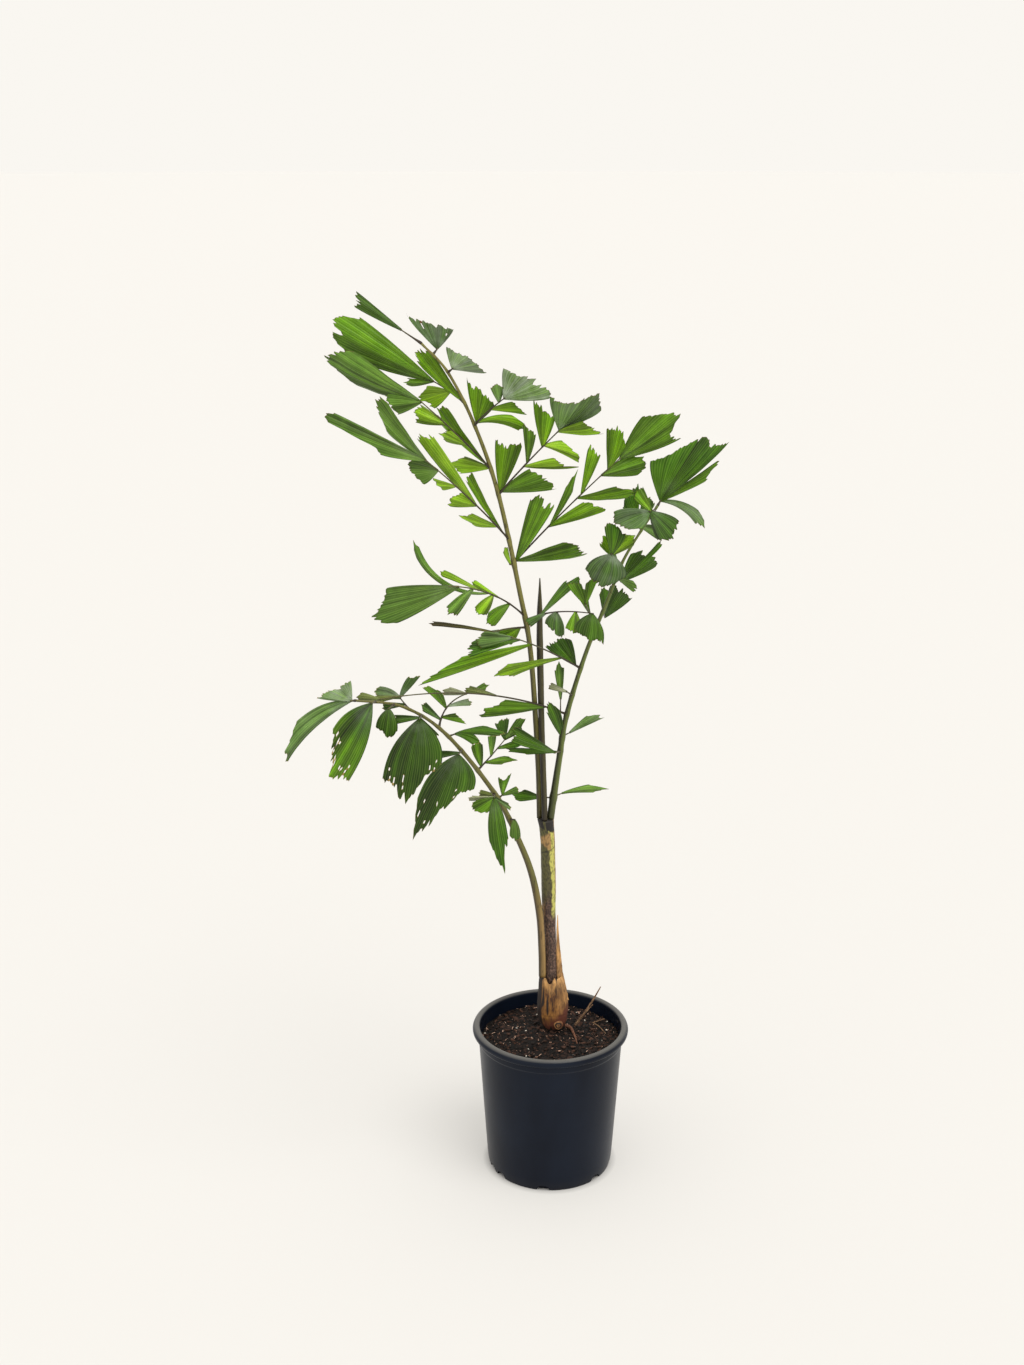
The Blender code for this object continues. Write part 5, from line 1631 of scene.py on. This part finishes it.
# Greens dealt out by leaflet as painted light and shade: lighter greens where light falls on a leaflet, darker ones
# where it lies in shade, paler ones under painted sheen.
LOOKS = {
    "tall": (Look.SUNLIT,), "right": (Look.SHADED,), "low": (Look.FRESH,),
    "tall_fan_side": (Look.SILVERED,), "tall_fan_top": (Look.MUTED,), "tall_tip": (Look.DUSKY,),
    "tall_right_low": (Look.FRESH, Look.FRESH, Look.SUNLIT, Look.SUNLIT, Look.FRESH, Look.FRESH, Look.SUNLIT,
                       Look.SUNLIT, Look.FRESH),
    "tall_right_mid": (Look.SUNLIT, Look.FRESH, Look.SUNLIT, Look.GREYED, Look.FRESH, Look.BRIGHT, Look.BRIGHT,
                       Look.BRIGHT),
    "tall_right_high": (Look.SUNLIT, Look.GREYED, Look.SUNLIT, Look.SUNLIT, Look.SILVERED),
    "tall_left_high": (Look.SUNLIT, Look.BRIGHT, Look.FRESH, Look.FRESH),
    "tall_left_mid": (Look.SUNLIT, Look.BRIGHT, Look.BRIGHT, Look.BRIGHT, Look.LEAFY, Look.LEAFY),
    "tall_left_low": (Look.SUNLIT, Look.BRIGHT, Look.BRIGHT, Look.BRIGHT, Look.BRIGHT, Look.LEAFY, Look.LEAFY,
                      Look.LEAFY),
    "tall_low_left": (Look.LEAFY, Look.BRIGHT, Look.BRIGHT, Look.LEAFY, Look.BRIGHT, Look.FRESH, Look.LEAFY),
    "tall_low_dry": (Look.SUNLIT, Look.DRIED, Look.GREYED), "tall_foot_small": (Look.BRIGHT,),
    "tall_low_right": (Look.SHADED, Look.HAZED, Look.MUTED, Look.SUNLIT, Look.DEEP),
    "right_low_left": (Look.FRESH, Look.OLIVE, Look.OLIVE, Look.OLIVE),
    "right_left_mid": (Look.SHADED, Look.BRIGHT, Look.SUNLIT, Look.SHADED, Look.GREYED),
    "right_small_grey": (Look.PALE,), "right_spike": (Look.LEAFY, Look.DEEP), "right_low_leaf": (Look.DEEP,),
    "right_back_low": (Look.DUSKY, Look.DEEP),
    "right_low_back": (Look.GREYED,), "right_front_high": (Look.HAZED, Look.MUTED, Look.SUNLIT, Look.MUTED),
    "right_front_mid": (Look.MUTED, Look.SHADED, Look.BRIGHT, Look.SUNLIT, Look.MUTED, Look.FRESH),
    "right_back_high": (Look.SHADED, Look.LEAFY, Look.GREYED), "right_back_mid": (Look.SHADED, Look.SHADED, Look.LEAFY),
    "right_front_low": (Look.FRESH, Look.FRESH, Look.LEAFY, Look.LEAFY), "right_foot_right": (Look.LEAFY,),
    "right_tip": (Look.SHADED, Look.FRESH, Look.GREYED), "low_tip": (Look.GREYED, Look.SILVERED),
    "low_top_back": (Look.MUTED, Look.SILVERED, Look.DUSKY), "low_hang_end": (Look.HANGING,),
    "low_hang_broad": (Look.DUSKY,), "low_hang_mid": (Look.DUSKY,), "low_back_long": (Look.SHADED,),
    "low_hang_near": (Look.FRESH, Look.SHADED, Look.PALE, Look.SILVERED),
    "low_back_left": (Look.MUTED, Look.FRESH, Look.SILVERED, Look.FRESH, Look.PALE, Look.LEAFY),
    "low_back_mid": (Look.FRESH, Look.LEAFY, Look.FRESH, Look.SHADED, Look.DEEP, Look.LEAFY),
    "low_back_near": (Look.FRESH, Look.LEAFY, Look.OLIVE), "low_hang_small": (Look.DEEP,),
    "low_foot_small": (Look.LEAFY,),
}


@dataclass(frozen=True)
class BladeRule:
    """How a wedge-shaped leaflet is grown from its named sizes, in mm and degrees."""

    base_half_width: float = 1.5
    bulge: float = 0.04
    tilt: float = 16
    sway: float = 7
    thickness: float = 0.5
    row_mm: float = 6
    vein_mm: float = 3.4
    pleat: float = 0.16
    fold_mm: float = 9
    fold_depth: float = 0.075
    wave: float = 1.3
    stripe: float = 0.75
    half_shade: float = 0.2
    tooth_depth: float = 12
    side: int = 1

    def teeth(self, leaflet: "Leaflet", across: float, seed: int, torn: float) -> float:
        """Give how much of the reach a ragged end keeps: saw teeth of uneven depth, with a bite here and there.

        Args:
            leaflet: Its named sizes.
            across: How far from the midline, in mm at the widest.
            seed: The leaflet's own seed.
            torn: How torn the end is, 0 to 1.

        Returns:
            The share kept.
        """
        lobe = min(max(leaflet.width / 6, 4.5), 10)
        place = across / lobe + 0.45 * noise.noise(Vector((across / 9, seed * 2.3, 0))) + seed * 0.37
        number = math.floor(place)
        deep = 0.35 + 0.65 * abs(noise.cell(Vector((number, seed, 3))))
        along = place - number
        along = along if noise.cell(Vector((seed, 7, 1))) > 0 else 1 - along
        jag = abs(noise.noise(Vector((across / 1.2, seed, 5))))
        bite = 0.8 * smooth(0.25, 0.5, noise.noise(Vector((across / 12, seed * 5.1, 9))))
        step = 0.5 * smooth(-0.1, 0.1, noise.noise(Vector((across / 22, seed * 3.3, 2))))
        depth = min(self.tooth_depth, 0.14 * leaflet.length) * (1 + 0.5 * torn) / leaflet.length
        return 1.04 - depth * (0.8 * deep * along ** 0.7 + 0.9 * jag + bite + step)

    def holes(self, rows: int, columns: int, seed: int, torn: float) -> set:
        """Choose the cells that are missing near a torn end, no two of them touching at a corner.

        Args:
            rows: How many rows of cells the leaflet has.
            columns: How many points cross it.
            seed: The leaflet's own seed.
            torn: How torn the end is, 0 to 1.

        Returns:
            Row and column of each missing cell.
        """
        chosen = set()
        chance = random.Random(seed)
        for _ in range(round(torn * 11) if columns > 9 else 0):
            column = chance.randrange(2, columns - 3)
            last = rows - 2 - int(abs(chance.gauss(0, 0.13)) * rows)
            for row in range(last, last - chance.choice((1, 1, 2)), -1):
                around = {(row + i, column + j) for i in (-1, 0, 1) for j in (-1, 1)}
                if row > rows // 2 and not around & chosen:
                    chosen.add((row, column))
        return chosen

    def grow(self, fabric: Fabric, place: tuple, leaflet: "Leaflet", seed: int, colours: tuple, bloom: float,
             torn: float = 0.0) -> None:
        """Add one leaflet.

        Args:
            fabric: Where it is added.
            place: Its foot, the way it points, its own left and the way its upper face looks.
            leaflet: Its named sizes.
            seed: The seed of its teeth and waves.
            colours: Its colour at the foot and at the end.
            bloom: How much silvery veil of its own and painted sheen it has, 0 to 1.
            torn: How torn its end is, 0 to 1.
        """
        foot, axis, left, out = place
        length = leaflet.length
        half = leaflet.width / 2
        fold = math.tan(math.radians(leaflet.fold)) * self.side
        veins = max(2, round(leaflet.width / self.vein_mm))
        columns = 2 * veins + 1
        rows = max(8, round(length / self.row_mm))
        turn = math.radians(leaflet.curl)
        sheets = ([], [])
        ends = [self.teeth(leaflet, half * (1 - 2 * column / (columns - 1)), seed, torn) for column in range(columns)]
        holes = self.holes(rows, columns, seed, torn)
        rims = {(row + i, column + j) for row, column in holes for i in (0, 1) for j in (0, 1)}
        # Each column's brightness: soft bands and a paler middle, with painted shade on alternate pleats, a painted lit
        # half and painted shade along both margins.
        lit = self.half_shade * (1 if noise.cell(Vector((seed, 3, 8))) > 0 else -1)
        column_tone_and_shade = [1 + self.stripe * noise.noise(Vector((column * 0.23, seed * 1.9, 4)))
                   - 0.14 * (column // 2 % 2) + 0.3 * math.exp(-((column - veins) / 1.3) ** 2)
                   + lit * min(max(column - veins, -1), 1) for column in range(columns)]
        # Painted shade along both margins.
        for column, share in ((0, 0.62), (1, 0.85), (columns - 2, 0.92), (columns - 1, 0.7)):
            column_tone_and_shade[column] *= share
        for row in range(rows + 1):
            u = row / rows
            wide = self.base_half_width + (half - self.base_half_width) * (1 - (1 - u) ** leaflet.flare)
            for column in range(columns):
                v = 1 - 2 * column / (columns - 1)
                reach = u * spread(leaflet.reach, (1 - v) / 2) * (1 - u * (1 - ends[column]))
                angle = turn * reach
                if abs(turn) > 1e-4:
                    ahead, aside = math.sin(angle) / turn, (1 - math.cos(angle)) / turn
                else:
                    ahead, aside = reach, 0.0
                own_left = left * math.cos(angle) - axis * math.sin(angle)
                across = v * wide
                pleat = self.pleat * (1 if column % 2 else -1) * min(3 * u, 1)
                pleat += self.fold_depth * self.fold_mm * math.sin(2 * math.pi * v * half / self.fold_mm + seed) * min(2 * u, 1)
                swell = grain(Vector((across, reach * length, seed * 19)), 24) * self.wave * min(2 * u, 1)
                lift = self.bulge * length * 4 * reach * (1 - reach) + fold * wide * abs(v) + pleat + swell
                spot = foot + axis * (ahead * length * MM) + left * (aside * length * MM)
                spot += own_left * (across * MM) + out * (lift * MM)
                edge = max(smooth(1 - 7 / length, 1, u), 0.55 * smooth(0.93, 1, abs(v)) * smooth(0.1, 0.5, u))
                tone = smooth(0.0, 1.0, u + 0.35 * grain(Vector((across, reach * length, seed)), 30))
                shade = column_tone_and_shade[column] + 0.12 * grain(Vector((across * 2.5, reach * length * 0.3, seed)), 9)
                # Painted highlight in patches towards the end.
                shade += 0.3 * smooth(0.6, 0.95, u) * smooth(0.05, 0.5, grain(Vector((across, reach * length, seed)), 12))
                green = tuple(shade * c for c in mixed(colours[0], colours[1], tone))
                edge = 1.0 if (row, column) in rims else edge
                # The veil lies near the foot, and lies as painted sheen over the leaflets that carry much of it.
                veil = smooth(0.5, 0.0, u) + 1.3 * max(bloom - 0.5, 0)
                values = {"leaf_colour": green, "margin": edge, "bloom": bloom * min(veil, 1.2)}
                thick = out * (self.thickness * MM / 2)
                sheet = (column / 2 * self.vein_mm / 10, reach * length / 100)
                sheets[0].append(fabric.put(spot + thick, sheet, **values))
                sheets[1].append(fabric.put(spot - thick, sheet, **values))
        self.close(fabric, sheets, rows, columns, holes)

    @staticmethod
    def close(fabric: Fabric, sheets: tuple, rows: int, columns: int, holes: set) -> None:
        """Join the two faces of a leaflet round its border.

        Args:
            fabric: Where the faces are added.
            sheets: The point numbers of its upper and lower face.
            rows: How many rows of faces it has.
            columns: How many points cross it.
            holes: The cells that are missing.
        """
        upper, lower = sheets
        for row in range(rows):
            for column in range(columns - 1):
                a = row * columns + column
                b, c, d = a + 1, a + columns + 1, a + columns
                if (row, column) in holes:
                    beside = ((row - 1, column), (row, column + 1), (row + 1, column), (row, column - 1))
                    for p, q, cell in zip((a, b, c, d), (b, c, d, a), beside):
                        if cell not in holes:
                            fabric.faces.append((upper[p], upper[q], lower[q], lower[p]))
                    continue
                fabric.faces.append((upper[a], upper[b], upper[c], upper[d]))
                fabric.faces.append((lower[a], lower[d], lower[c], lower[b]))
        border = list(range(columns))
        border += [row * columns + columns - 1 for row in range(1, rows + 1)]
        border += [rows * columns + column for column in range(columns - 2, -1, -1)]
        border += [row * columns for row in range(rows - 1, 0, -1)]
        for a, b in zip(border, border[1:] + border[:1]):
            fabric.faces.append((upper[a], lower[a], lower[b], upper[b]))


@dataclass
class PalmLeaf:
    """One twice-cut leaf: its stalk, its side ribs and their leaflets, in mm."""

    name: str
    skin: StalkSkin
    blade: LeafBlade
    side: int
    rib_radius: float = 1.5
    rib_tip_radius: float = 0.8
    rib_steps: int = 28
    foot_swell: float = 0.55
    stalk_steps: int = 150
    stalk_sides: int = 20
    path: Path = field(init=False)

    def __post_init__(self) -> None:
        """Lay out the stalk's line."""
        self.path = Path(STALKS[self.name].knots, self.stalk_steps)

    def pinnae(self) -> list:
        """List the side ribs of this leaf."""
        return [pinna for pinna in PINNAE if pinna.stalk == self.name]

    def stalk_radius(self, share: float, turn: float) -> float:
        """Give the stalk's radius in metres, with its joints and its faint lengthwise ridges."""
        radius = spread(STALKS[self.name].radii, share)
        for pinna in self.pinnae():
            radius += 0.5 * math.exp(-(((share - pinna.at) * self.path.length / 0.006) ** 2))
        ridge = grain(Vector((math.cos(turn) * 3, math.sin(turn) * 3, share * 4)), 1.1)
        return radius * MM * (1 + 0.035 * ridge)

    def build_stalk(self) -> bpy.types.Object:
        """Build the stalk."""
        fabric = Fabric()
        # Painted light on the stalk's lit flank, and lighter towards its end as well.
        draw_tube(fabric, self.path.points, self.stalk_radius, self.stalk_sides,
                  flank=lambda share, turn: 0.5 + 0.35 * math.cos(turn) + 0.25 * smooth(0.1, 0.8, share))
        return fabric.piece(self.name + "_leaf_stalk", self.skin.material())

    def rib_line(self, pinna: "Pinna") -> list:
        """Give a side rib's middle line in metres, from the stalk's own middle."""
        start = self.path.at(pinna.at)
        run = Vector(pinna.run) * MM
        bow = Vector(pinna.bow) * MM
        steps = self.rib_steps
        return [start + run * (k / steps) + bow * 4 * (k / steps) * (1 - k / steps) for k in range(steps + 1)]

    def build_ribs(self) -> bpy.types.Object:
        """Build the side ribs, each swollen and dark where it leaves the stalk."""
        fabric = Fabric()
        for pinna in self.pinnae():
            line = self.rib_line(pinna)
            length = (line[-1] - line[0]).length

            def radius(share: float, turn: float) -> float:
                swell = self.foot_swell * math.exp(-((share * length / 0.009) ** 2))
                bead = sum(0.25 * math.exp(-(((share - leaflet.at) * length / 0.0025) ** 2))
                           for leaflet in pinna.leaflets)
                return (lerp(self.rib_radius, self.rib_tip_radius, share) * (1 + swell) + min(bead, 0.5)) * MM

            # Painted light on one flank of each rib, and lighter towards its end as well.
            draw_tube(fabric, line, radius, 12, flank=lambda share, turn: 0.1 + 0.3 * share + 0.15 * math.cos(turn))
        return fabric.piece(self.name + "_leaf_ribs", RIB_SKIN.material())

    def placed(self, pinna: "Pinna", number: int, line: list) -> tuple:
        """Find where a leaflet stands and how it lies.

        Args:
            pinna: Its side rib.
            number: Its number on the rib.
            line: The rib's middle line.

        Returns:
            Its foot, the way it points, its own left and the way its upper face looks.
        """
        leaflet = pinna.leaflets[number]
        out = Vector(pinna.face).normalized()
        across = Vector((0, 0, 1)).cross(out).normalized()
        up = out.cross(across)
        side = 1 if number % 2 else -1
        turn = math.radians(leaflet.heading)
        swing = math.radians(leaflet.lean) + side * math.asin(BladeRule.sway / leaflet.length)
        tilt = math.radians(BladeRule.tilt * side)
        flat = across * math.cos(turn) + up * math.sin(turn)
        axis = flat * math.cos(swing) + out * math.sin(swing)
        front = out * math.cos(swing) - flat * math.sin(swing)
        left = front.cross(axis)
        left, front = left * math.cos(tilt) + front * math.sin(tilt), front * math.cos(tilt) - left * math.sin(tilt)
        run = (line[-1] - line[0]).length
        share = min(leaflet.at, max(1 - 0.002 / run, 0.5)) * self.rib_steps
        low = min(int(share), self.rib_steps - 1)
        foot = line[low].lerp(line[low + 1], share - low) - axis * 0.0005
        return foot, axis, left, front

    def build_blades(self) -> bpy.types.Object:
        """Build all leaflets of the leaf."""
        fabric = Fabric()
        rule = BladeRule(side=self.side)
        for order, pinna in enumerate(self.pinnae()):
            line = self.rib_line(pinna)
            looks = LOOKS.get(pinna.name, LOOKS[self.name])
            for number, leaflet in enumerate(pinna.leaflets):
                look = looks[number % len(looks)]
                chance = random.Random(order * 41 + number)
                place = self.placed(pinna, number, line)
                drift = chance.uniform(-0.25, 0.35)
                light = chance.uniform(0.88, 1.12)
                first, second = (linear(code) for code in look.value[:2])
                colours = tuple(tuple(c * light for c in mixed(first, second, share)) for share in (drift, 1 - drift))
                bloom = look.value[2] * chance.uniform(0.7, 1.1)
                torn = TORN.get(pinna.name, 0.0)
                rule.grow(fabric, place, leaflet, order * 17 + number, colours, bloom, torn)
        return fabric.piece(self.name + "_leaflets", self.blade.material())

    def dress(self) -> None:
        """Build the leaf's pieces and let them stand for its CAD nodes."""
        nodes = [pinna.name for pinna in self.pinnae()]
        settle(self.build_stalk(), "stalk", self.name + "_stalk")
        settle(self.build_ribs(), self.name + "_leaf", *nodes)
        settle(self.build_blades(), self.name + "_leaf", *nodes)


RIB_SKIN = StalkSkin("leaf_rib_skin", "#6E6C38", "#33291A")


@dataclass
class Spear:
    """The unopened leaf: a slim folded spear, near black below and olive above, in mm."""

    steps: int = 160
    sides: int = 18

    def radius(self, share: float, turn: float) -> float:
        """Give the radius in metres, with the ridges of the folded blade."""
        ridge = 0.07 * math.sin(5 * turn + 14 * share) + 0.05 * grain(Vector((math.cos(turn), math.sin(turn), share * 30)), 1)
        return spread(STALKS["spear"].radii, share) * MM * (1 + ridge)

    def dress(self) -> None:
        """Build the spear and let it stand for its CAD node."""
        fabric = Fabric()
        path = Path(STALKS["spear"].knots, self.steps)
        # Painted light on the spear's lit flank.
        draw_tube(fabric, path.points, self.radius, self.sides,
                  flank=lambda share, turn: 0.5 + 0.35 * math.cos(turn))
        skin = StalkSkin("spear_skin", "#4C4726", "#18120A", foot="#2A1E12", foot_height=0.66)
        settle(fabric.piece("unopened_spear", skin.material()), "stalk", "spear")


# Studio


@dataclass(frozen=True)
class Camera:
    """The photograph's camera: in front of the plant, a little above its top and tipped down."""

    place: tuple = (-0.0627, -2.6008, 1.6563)
    tip: float = math.pi / 2 - 0.306713
    focal_px: float = 1778.1
    image_height: float = 1365
    sensor: float = 36

    def place_it(self) -> None:
        """Put the camera in the scene."""
        data = bpy.data.cameras.new("photo_camera")
        data.sensor_width = self.sensor
        data.sensor_fit = "AUTO"
        data.lens = self.focal_px / self.image_height * self.sensor
        data.clip_end = 200
        thing = bpy.data.objects.new("photo_camera", data)
        thing.location = self.place
        thing.rotation_euler = (self.tip, 0, 0)
        bpy.context.scene.collection.objects.link(thing)
        bpy.context.scene.camera = thing


@dataclass(frozen=True)
class SoftLamp:
    """A wide soft light far away: where it stands as azimuth and elevation in degrees, its strength and its width."""

    name: str
    azimuth: float
    elevation: float
    strength: float
    width: float
    colour: str = "#FFFDF8"

    def hang(self) -> None:
        """Put the light in the scene."""
        data = bpy.data.lights.new(self.name, "SUN")
        data.energy = self.strength
        data.angle = math.radians(self.width)
        data.color = linear(self.colour)
        thing = bpy.data.objects.new(self.name, data)
        thing.rotation_euler = (math.radians(90 - self.elevation), 0, math.radians(self.azimuth))
        bpy.context.scene.collection.objects.link(thing)


@dataclass(frozen=True)
class Studio:
    """A pale paper floor and soft cream light all round."""

    floor_radius: float = 60
    world_tone: str = "#FCF9F3"
    world_strength: float = 0.98
    lamps: tuple = (
        SoftLamp("key_from_right", 40, 60, 1.5, 40),
        SoftLamp("fill_from_left", -50, 35, 0.4, 60),
    )

    def dress(self) -> None:
        """Build the floor, the world and the lights."""
        fabric = Fabric()
        row = []
        for i in range(96):
            turn = 2 * math.pi * i / 96
            row.append(fabric.put(Vector((math.cos(turn), math.sin(turn), 0)) * self.floor_radius))
        fabric.faces.append(tuple(row))
        floor = fabric.piece("paper_floor", StudioPaper().material(), False)
        world = bpy.data.worlds.new("studio")
        world.use_nodes = True
        sky = world.node_tree.nodes["Background"]
        sky.inputs["Color"].default_value = (*linear(self.world_tone), 1)
        sky.inputs["Strength"].default_value = self.world_strength
        bpy.context.scene.world = world
        for lamp in self.lamps:
            lamp.hang()
        bpy.context.scene.view_settings.view_transform = "Standard"


def main() -> None:
    """Dress the plant, its pot and the studio."""
    logging.basicConfig(level=logging.INFO, format="%(name)s %(message)s")
    bark = PottingBark()
    NurseryPot().dress()
    bark.dress()
    Stem().dress()
    Litter(bark).dress()
    green = LeafBlade("sunlit_leaflet", "#35500C")
    deep = LeafBlade("shaded_leaflet", "#1C3410")
    hung = LeafBlade("hanging_leaflet", "#1C3410", browned="#9A8450")
    PalmLeaf("tall", StalkSkin("tall_stalk_skin", "#787338", "#332E18", foot="#3A2E18", foot_height=0.65), green, -1).dress()
    PalmLeaf("right", StalkSkin("right_stalk_skin", "#5F6B2C", "#20240E", foot="#3A3A1C", foot_height=0.66), deep, 1).dress()
    PalmLeaf("low", StalkSkin("low_stalk_skin", "#66632F", "#3A2E18", foot="#987A48"), hung, 1).dress()
    Spear().dress()
    Studio().dress()
    Camera().place_it()


if __name__ == "__main__":
    main()
